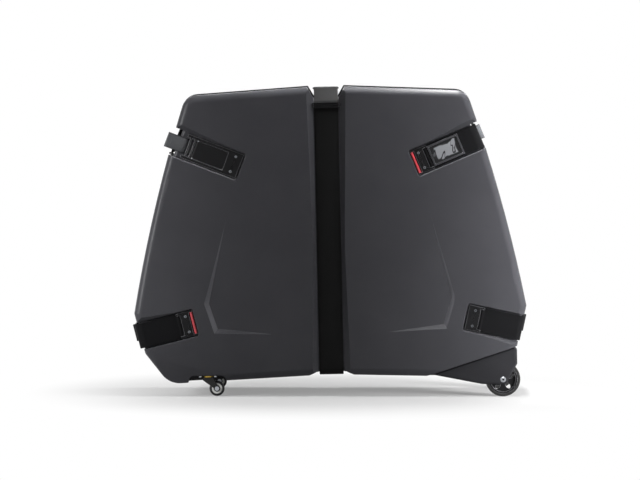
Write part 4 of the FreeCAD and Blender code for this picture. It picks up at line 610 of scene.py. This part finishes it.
print("strap length of one half, metres:",
      round(sum((b - a).length for a, b in zip(strap_path, strap_path[1:])) / 1000, 3))

# %% [markdown]
# ## Handle sleeve and keeper
# The handle's sleeve is a folded webbing pad round the strap. Its top is crowned and its long edges are
# sewn, so its section is a flat superellipse that is drawn in at both ends. The keeper under the case is
# a plain loop.

# %% Sleeve and keeper
SLEEVE_STATIONS, SLEEVE_AROUND = 24, 32
SIDE_POWER, CROWN_POWER = 0.35, 0.6
END_POWER, END_NARROWING = 6, 0.02


def padded_sleeve(name, half_width, low, high, half_length, finish, draw_in):
    """Loft of flat rounded sections along the depth, fuller in the middle than at its ends."""
    mesh = bmesh.new()
    weave = mesh.loops.layers.uv.new("weave")
    middle, half_height = (low + high) / 2, (high - low) / 2
    rings = []
    for row in range(SLEEVE_STATIONS + 1):
        depth = -half_length + 2 * half_length * row / SLEEVE_STATIONS
        close = (abs(depth) / half_length) ** END_POWER
        full = 1 - draw_in * close
        ring = []
        for column in range(SLEEVE_AROUND):
            angle = 2 * math.pi * column / SLEEVE_AROUND
            cosine, sine = math.cos(angle), math.sin(angle)
            x = half_width * math.copysign(abs(cosine) ** SIDE_POWER, cosine) * (1 - END_NARROWING * close)
            z = middle + half_height * full * math.copysign(abs(sine) ** CROWN_POWER, sine)
            ring.append(mesh.verts.new(UPRIGHT @ Vector((x, depth, z))))
        rings.append(ring)
    for face in join_rings(mesh, rings):
        for loop in face.loops:
            loop[weave].uv = (loop.vert.co.y, loop.vert.co.x)
    for ring in (rings[0], rings[-1]):
        for loop in mesh.faces.new(ring).loops:
            loop[weave].uv = (loop.vert.co.z, loop.vert.co.x)
    return skinned(name, mesh, finish)


sleeve = padded_sleeve("handle_pad", half_width=41.6, low=969.7, high=979.3, half_length=57.8,
                       finish=handle_nylon, draw_in=0.35)
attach(sleeve, "rear_shell")
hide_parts("handle_sleeve")
KEEPER_TOP = STRAP_LOW + 2.4
keeper = padded_sleeve("strap_loop", half_width=40.2, low=KEEPER_TOP - 7.8, high=KEEPER_TOP - 0.1,
                       half_length=25.8, finish=strap_nylon, draw_in=0.15)
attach(keeper, "rear_shell")
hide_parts("strap_keeper")
print("sleeve and keeper:", sleeve.name, keeper.name)

# %% [markdown]
# ## Adjustable webbing
# One closure of each shell has webbing that runs under a ladder buckle, round the end of the case and up
# to the lever of the other shell. Its spare tail comes out between the ladder bars and stands clear of
# the case.

# %% Webbing and its tail
WEB_WIDTH, WEB_THICK, WEB_STEP = 48.0, 2.4, 12.0
WEB_FLOOR, WEB_START, WEB_END, WEB_STOP = -14.7, 63.0, 217.6, -187.0
WEB_LIFT, WEB_BEND, TAIL_BEND = 1.3, 15.3, 12.0
TAIL_CORNERS = [(183.5, -12.6), (195.0, -7.4), (226.0, -4.4), (251.5, -3.6)]
web_path = bent_path([(WEB_START, WEB_FLOOR + WEB_LIFT), (WEB_END + WEB_LIFT, WEB_FLOOR + WEB_LIFT),
                      (WEB_END + WEB_LIFT, WEB_STOP)], WEB_BEND)
tail_path = bent_path(TAIL_CORNERS, TAIL_BEND)
for shell in SHELLS:
    place = closure_frame(shell, "upper", -1)
    for label, path in (("band", web_path), ("tail", tail_path)):
        web = webbing_band(f"{shell}_webbing_{label}", even_path(path, WEB_STEP), WEB_WIDTH, WEB_THICK,
                           lambda along, out, across, p=place: p @ Vector((along, out, across)), tail_nylon)
        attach(web, f"{shell}_shell")
        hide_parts(f"{shell}_webbing")
print("webbing bands:", 2 * len(SHELLS))

# %% [markdown]
# ## Foam liners
# Each shell is lined with a foam pad with an egg-crate surface that keeps the bicycle from sliding. The
# pad has the outline of its solid. A voxel remesh gives it an even skin of small faces, and the inner
# face is then pushed in by two crossed waves with a pitch of 60 mm, so the foam stays inside the space of
# the solid.

# %% Egg-crate foam
CRATE_PITCH, CRATE_DEPTH, CRATE_REACH, FOAM_VOXEL = 0.060, 0.007, 0.010, 0.009


def ripple(reach):
    """Height of one of the foam's two crossed waves, from -1 to 1."""
    return math.sin(2 * math.pi * reach / CRATE_PITCH)


for shell in SHELLS:
    solid = case_nodes[f"{shell}_foam_liner"]
    foam = put_in_scene(f"{shell}_foam_pad", solid.data.copy())
    weld_seams(foam)
    remesh = foam.modifiers.new("even", "REMESH")
    remesh.mode = "VOXEL"
    remesh.voxel_size = FOAM_VOXEL
    skin = bpy.data.meshes.new_from_object(foam.evaluated_get(bpy.context.evaluated_depsgraph_get()))
    foam.modifiers.clear()
    foam.data = skin
    low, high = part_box(f"{shell}_foam_liner")
    inner = high.y if shell == "front" else low.y
    outward = -1 if shell == "front" else 1
    for vertex in skin.vertices:
        depth = max(0.0, 1 - abs(vertex.co.y - inner) / CRATE_REACH)
        wave = ripple(vertex.co.x) * ripple(vertex.co.z)
        vertex.co.y += outward * CRATE_DEPTH * depth * (0.5 - 0.5 * wave)
        vertex.co.y = min(max(vertex.co.y, low.y), high.y)
    skin.materials.clear()
    skin.materials.append(liner_foam)
    smooth_all(skin)
    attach(foam, f"{shell}_shell")
    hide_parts(f"{shell}_foam_liner")
    print(foam.name, "faces:", len(skin.polygons))

# %% [markdown]
# ## Stitching
# The sleeve is sewn along both long edges, and each webbing tail has rows of stitches across its end. The
# rows of a piece are edges of one mesh. Geometry Nodes turn the edges into curves, spread points along them
# at the stitch pitch and put one short thread at each point, turned along its row.

# %% Stitches on rows


def stitch_tree():
    """Node tree that sews along every edge of the mesh that it is given."""
    tree = bpy.data.node_groups.new("sewn_rows", "GeometryNodeTree")
    tree.interface.new_socket("Rows", in_out="INPUT", socket_type="NodeSocketGeometry")
    for label, value in (("Pitch", 0.004), ("Stitch", 0.0028), ("Thread", 0.0005)):
        tree.interface.new_socket(label, in_out="INPUT", socket_type="NodeSocketFloat").default_value = value
    tree.interface.new_socket("Finish", in_out="INPUT", socket_type="NodeSocketMaterial")
    tree.interface.new_socket("Stitches", in_out="OUTPUT", socket_type="NodeSocketGeometry")
    given = add(tree, "NodeGroupInput")
    row = add(tree, "GeometryNodeMeshToCurve", {"Mesh": given.outputs["Rows"]})
    points = add(tree, "GeometryNodeCurveToPoints",
                 {"Curve": row.outputs["Curve"], "Length": given.outputs["Pitch"]}, mode="LENGTH")
    turn = add(tree, "FunctionNodeAlignRotationToVector", {"Vector": points.outputs["Tangent"]}, axis="X")
    thread = add(tree, "GeometryNodeMeshUVSphere", {"Segments": 8, "Rings": 5, "Radius": 1.0})
    size = add(tree, "ShaderNodeCombineXYZ",
               {"X": calc(tree, "MULTIPLY", given.outputs["Stitch"], 0.5),
                "Y": given.outputs["Thread"], "Z": given.outputs["Thread"]})
    sewn = add(tree, "GeometryNodeInstanceOnPoints",
               {"Points": points.outputs["Points"], "Instance": thread.outputs["Mesh"],
                "Rotation": turn.outputs["Rotation"], "Scale": size.outputs["Vector"]})
    solid = add(tree, "GeometryNodeRealizeInstances", {"Geometry": sewn.outputs["Instances"]})
    painted = add(tree, "GeometryNodeSetMaterial", {"Geometry": solid.outputs["Geometry"],
                                                    "Material": given.outputs["Finish"]})
    add(tree, "NodeGroupOutput", {"Stitches": painted.outputs["Geometry"]})
    return tree


def grow(name, base, tree, settings):
    """Run a node tree on a base mesh and keep the result as a plain mesh object."""
    made = put_in_scene(name, base)
    modifier = made.modifiers.new("grow", "NODES")
    modifier.node_group = tree
    for item in tree.interface.items_tree:
        if item.item_type == "SOCKET" and item.in_out == "INPUT" and item.name in settings:
            modifier[item.identifier] = settings[item.name]
    bpy.context.view_layer.update()
    result = bpy.data.meshes.new_from_object(made.evaluated_get(bpy.context.evaluated_depsgraph_get()))
    made.modifiers.clear()
    made.data = result
    smooth_all(result)
    return made


def rows_mesh(name, rows):
    """A mesh with one edge for each row of two points."""
    data = bpy.data.meshes.new(name)
    data.from_pydata([point for row in rows for point in row],
                     [(2 * number, 2 * number + 1) for number in range(len(rows))], [])
    return data


sewing = stitch_tree()
SEAM_IN, SEAM_END, SEAM_TOP = 36.5, 52.0, 979.15
sleeve_rows = []
for side in (-1, 1):
    sleeve_rows.append((UPRIGHT @ Vector((side * SEAM_IN, -SEAM_END, SEAM_TOP)),
                        UPRIGHT @ Vector((side * SEAM_IN, SEAM_END, SEAM_TOP))))
sewn_sleeve = grow("handle_stitching", rows_mesh("handle_rows", sleeve_rows), sewing,
                   {"Finish": thread_polyester})
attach(sewn_sleeve, "rear_shell")
TAIL_ROWS, ROW_HALF = (236.0, 240.0, 247.0), 20.0
TAIL_FLAT, TAIL_HEIGHT, TAIL_SLOPE = 226.0, -4.0, 0.032
for shell in SHELLS:
    place = closure_frame(shell, "upper", -1)
    tail_rows = []
    for along in TAIL_ROWS:
        out = TAIL_HEIGHT + (along - TAIL_FLAT) * TAIL_SLOPE + WEB_THICK / 2
        tail_rows.append([place @ Vector((along, out, across)) for across in (-ROW_HALF, ROW_HALF)])
    sewn = grow(f"{shell}_stitching", rows_mesh(f"{shell}_rows", tail_rows), sewing,
                {"Finish": thread_polyester})
    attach(sewn, f"{shell}_shell")
    print(sewn.name, "faces:", len(sewn.data.polygons))

# %% [markdown]
# ## Hex sockets
# Each plate screw and each axle screw is driven by a hex key. A dark six-sided disc sits in the middle of
# every head as painted shade for the socket's hole. The heads are points of small meshes, and Geometry Nodes
# put a six-sided disc on each.

# %% Sockets on the screw heads


def socket_tree():
    """Node tree that puts a thin six-sided disc, facing along Y, on every vertex."""
    tree = bpy.data.node_groups.new("hex_sockets", "GeometryNodeTree")
    tree.interface.new_socket("Heads", in_out="INPUT", socket_type="NodeSocketGeometry")
    for label, value in (("Radius", 0.0019), ("Depth", 0.0006)):
        tree.interface.new_socket(label, in_out="INPUT", socket_type="NodeSocketFloat").default_value = value
    tree.interface.new_socket("Finish", in_out="INPUT", socket_type="NodeSocketMaterial")
    tree.interface.new_socket("Sockets", in_out="OUTPUT", socket_type="NodeSocketGeometry")
    given = add(tree, "NodeGroupInput")
    points = add(tree, "GeometryNodeMeshToPoints", {"Mesh": given.outputs["Heads"]})
    disc = add(tree, "GeometryNodeMeshCylinder", {"Vertices": 6, "Radius": given.outputs["Radius"],
                                                  "Depth": given.outputs["Depth"]})
    turned = add(tree, "GeometryNodeTransform",
                 {"Geometry": disc.outputs["Mesh"], "Rotation": (math.pi / 2, 0, 0)})
    put = add(tree, "GeometryNodeInstanceOnPoints", {"Points": points.outputs["Points"],
                                                     "Instance": turned.outputs["Geometry"]})
    solid = add(tree, "GeometryNodeRealizeInstances", {"Geometry": put.outputs["Instances"]})
    painted = add(tree, "GeometryNodeSetMaterial", {"Geometry": solid.outputs["Geometry"],
                                                    "Material": given.outputs["Finish"]})
    add(tree, "NodeGroupOutput", {"Sockets": painted.outputs["Geometry"]})
    return tree


hex_keys = socket_tree()
HEAD_TOP, SCREW_PLACE, SCREW_SPREAD, AXLE_SOCKET = -4.15, 27.0, 25.0, 0.0036
for shell in SHELLS:
    spots = []
    for level in RECESSES:
        for side in (-1, 1):
            place = closure_frame(shell, level, side)
            for across in (-SCREW_SPREAD, SCREW_SPREAD):
                spots.append(place @ Vector((SCREW_PLACE, HEAD_TOP, across)))
    base = bpy.data.meshes.new(f"{shell}_heads")
    base.from_pydata(spots, [], [])
    sockets = grow(f"{shell}_screw_sockets", base, hex_keys, {"Finish": socket_painted_shade})
    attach(sockets, f"{shell}_shell")
    head_low, head_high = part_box(f"{shell}_wheel_axle")
    face = head_low.y if shell == "front" else head_high.y
    axle = bpy.data.meshes.new(f"{shell}_axle_head")
    axle.from_pydata([((head_low.x + head_high.x) / 2, face, (head_low.z + head_high.z) / 2)], [], [])
    key = grow(f"{shell}_axle_socket", axle, hex_keys, {"Finish": socket_painted_shade, "Radius": AXLE_SOCKET})
    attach(key, f"{shell}_shell")
print("sockets on each shell:", len(spots) + 1)

# %% [markdown]
# ## Castor rings
# Each castor wheel has a pale nylon ring in the dish of its sides, round the boss. A ring is turned: its
# section is spun about the axle, which is how a lathe would make it.

# %% Rings in the castor wheels
RING_INNER, RING_OUTER, RING_CHAMFER = 0.0104, 0.0166, 0.0008
RING_DEEP, RING_FACE, RING_STEPS = 0.0071, 0.0094, 40
RING_SECTION = [(RING_INNER, RING_DEEP), (RING_OUTER, RING_DEEP), (RING_OUTER, RING_FACE - RING_CHAMFER),
                (RING_OUTER - RING_CHAMFER, RING_FACE), (RING_INNER + RING_CHAMFER, RING_FACE),
                (RING_INNER, RING_FACE - RING_CHAMFER)]
for shell in SHELLS:
    low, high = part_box(f"{shell}_castor_wheel")
    middle = (low + high) / 2
    turned = bmesh.new()
    for side in (-1, 1):
        hoops = []
        for step in range(RING_STEPS):
            angle = 2 * math.pi * step / RING_STEPS
            cosine, sine = math.cos(angle), math.sin(angle)
            hoops.append([turned.verts.new(middle + Vector((radius * cosine, side * depth, radius * sine)))
                          for radius, depth in RING_SECTION])
        join_rings(turned, hoops + hoops[:1])
    rings = skinned(f"{shell}_castor_rings", turned, pale_nylon, smooth=False)
    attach(rings, f"{shell}_castor_roller")
print("castor rings:", len(SHELLS))

# %% [markdown]
# ## Studio floor
# The picture is a catalogue shot on a seamless white sweep. The floor is a plain pale surface near the
# case, where it takes the shadow, and fades to white further out. The white is only for the eye: it shows
# to the camera, in reflections and through glass, and for all other rays the floor stays plain paper.

# %% Studio floor
FLOOR_HALF, FLOOR_LIFT = 30.0, 0.27
FADE_SHAPE, FADE_START, FADE_END = (0.95, 0.9, 0.0), 0.4, 0.95
floor_mesh = bpy.data.meshes.new("floor")
floor_mesh.from_pydata([(-FLOOR_HALF, -FLOOR_HALF, 0), (FLOOR_HALF, -FLOOR_HALF, 0),
                        (FLOOR_HALF, FLOOR_HALF, 0), (-FLOOR_HALF, FLOOR_HALF, 0)], [], [(0, 1, 2, 3)])
floor = put_in_scene("floor", floor_mesh)
paper, paper_tree, paper_shader, paper_place = blank_material("white_paper_sweep")
paper_shader.inputs["Base Color"].default_value = linear("#cccccc")
paper_shader.inputs["Roughness"].default_value = 0.9
paper_shader.inputs["Specular IOR Level"].default_value = 0.1
oval = add(paper_tree, "ShaderNodeVectorMath", {0: paper_place, 1: FADE_SHAPE}, operation="MULTIPLY")
reach = add(paper_tree, "ShaderNodeVectorMath", {0: oval.outputs["Vector"]}, operation="LENGTH")
fade = add(paper_tree, "ShaderNodeMapRange",
           {"Value": reach.outputs["Value"], "From Min": FADE_START, "From Max": FADE_END},
           interpolation_type="SMOOTHSTEP").outputs["Result"]
white = add(paper_tree, "ShaderNodeEmission", {"Strength": 1.0})
share = calc(paper_tree, "MULTIPLY", span(paper_tree, fade, FLOOR_LIFT, 1.0), seen_directly(paper_tree))
sweep = add(paper_tree, "ShaderNodeMixShader",
            {"Fac": share, 1: paper_shader.outputs["BSDF"], 2: white.outputs["Emission"]})
paper_out = next(n for n in paper_tree.nodes if n.type == "OUTPUT_MATERIAL")
paper_tree.links.new(sweep.outputs["Shader"], paper_out.inputs["Surface"])
floor_mesh.materials.append(paper)
print("floor:", floor.name, "with", paper.name)

# %% [markdown]
# ## Lights and world
# A tall light stands at the right and a weaker one at the left, each with a grid that keeps its beam near
# its own end of the case. The right one is hidden from reflections, so that it leaves no bright patch on
# a glossy face. A narrow light hangs overhead and picks out the top edges, and one behind the case lights
# its rear for the other views. Light linking keeps that one off the floor, as a black flag would in a
# studio, so that the shadow under the case stays. The room shows as full white, but lights the case with
# only a ninth of that.

# %% Lights and world
ROOM_LIGHT = 0.112


def softbox(name, place, target, width, height, watts, spread=180):
    """A rectangular light that faces a point, with a grid that holds its beam to a spread in degrees."""
    lamp = bpy.data.lights.new(name, "AREA")
    lamp.shape = "RECTANGLE"
    lamp.size, lamp.size_y, lamp.energy = width, height, watts
    lamp.spread = math.radians(spread)
    made = put_in_scene(name, lamp)
    made.location = place
    made.rotation_euler = (Vector(target) - Vector(place)).to_track_quat("-Z", "Y").to_euler()
    made.visible_camera = False
    return made


right_light = softbox("right_light", (1.35, -0.75, 0.6), (0.75, -0.15, 0.5),
                      width=0.4, height=1.3, watts=12.0, spread=44)
right_light.visible_glossy = False
left_light = softbox("left_light", (-1.35, -0.65, 0.8), (-0.7, -0.1, 0.55),
                     width=0.4, height=1.1, watts=4.6, spread=46)
top_light = softbox("top_light", (0.5, -0.08, 2.2), (0.4, -0.08, 0.9), width=1.8, height=0.2, watts=75)
rear_light = softbox("rear_light", (0.0, 2.3, 0.9), (0.0, 0.19, 0.55), width=1.6, height=1.0, watts=40)
flagged = bpy.data.collections.new("lit_from_behind")
for piece in bpy.context.scene.objects:
    if piece.type == "MESH" and piece != floor:
        flagged.objects.link(piece)
rear_light.light_linking.receiver_collection = flagged

world = bpy.data.worlds.new("studio")
bpy.context.scene.world = world
world.use_nodes = True
room = world.node_tree
room.nodes.clear()
dim = add(room, "ShaderNodeBackground", {"Color": (1, 1, 1, 1), "Strength": ROOM_LIGHT})
bright = add(room, "ShaderNodeBackground", {"Color": (1, 1, 1, 1), "Strength": 1.0})
air = add(room, "ShaderNodeMixShader",
          {"Fac": seen_directly(room), 1: dim.outputs["Background"], 2: bright.outputs["Background"]})
add(room, "ShaderNodeOutputWorld", {"Surface": air.outputs["Shader"]})
for light in (right_light, left_light, top_light, rear_light):
    print(light.name, "watts:", round(light.data.energy, 1))

# %% [markdown]
# ## Camera
# The camera stands 12 m away with a long lens, level with the top of the case, so the case shows almost
# no depth. One pixel of the picture is 3.2 mm at the plane where the shells meet, and the case stands a
# little to the right of the picture's middle.

# %% Camera
MM_PER_PIXEL, PIXELS_WIDE, PIXELS_HIGH = 3.2, 640, 480
CASE_COLUMN, FLOOR_ROW = 330.5, 395
CENTRE_X = (PIXELS_WIDE / 2 - CASE_COLUMN) * MM_PER_PIXEL / 1000
CENTRE_Z = (FLOOR_ROW - PIXELS_HIGH / 2) * MM_PER_PIXEL / 1000
DISTANCE, CAMERA_HEIGHT, FACE_DEPTH, SENSOR = 12.0, 1.0, HALF_DEPTH / 1000, 36.0
lens = bpy.data.cameras.new("long_lens")
lens.sensor_width = SENSOR
lens.lens = SENSOR * DISTANCE / (MM_PER_PIXEL * PIXELS_WIDE / 1000)
lens.clip_end = 200.0
camera = put_in_scene("camera", lens)
camera.location = (CENTRE_X, -DISTANCE, CAMERA_HEIGHT)
look_down = math.atan2(CAMERA_HEIGHT - CENTRE_Z, DISTANCE - FACE_DEPTH)
camera.rotation_euler = (math.pi / 2 - look_down, 0, 0)
bpy.context.scene.camera = camera
bpy.context.scene.view_settings.view_transform = "Standard"
print("lens, millimetres:", round(lens.lens, 1))
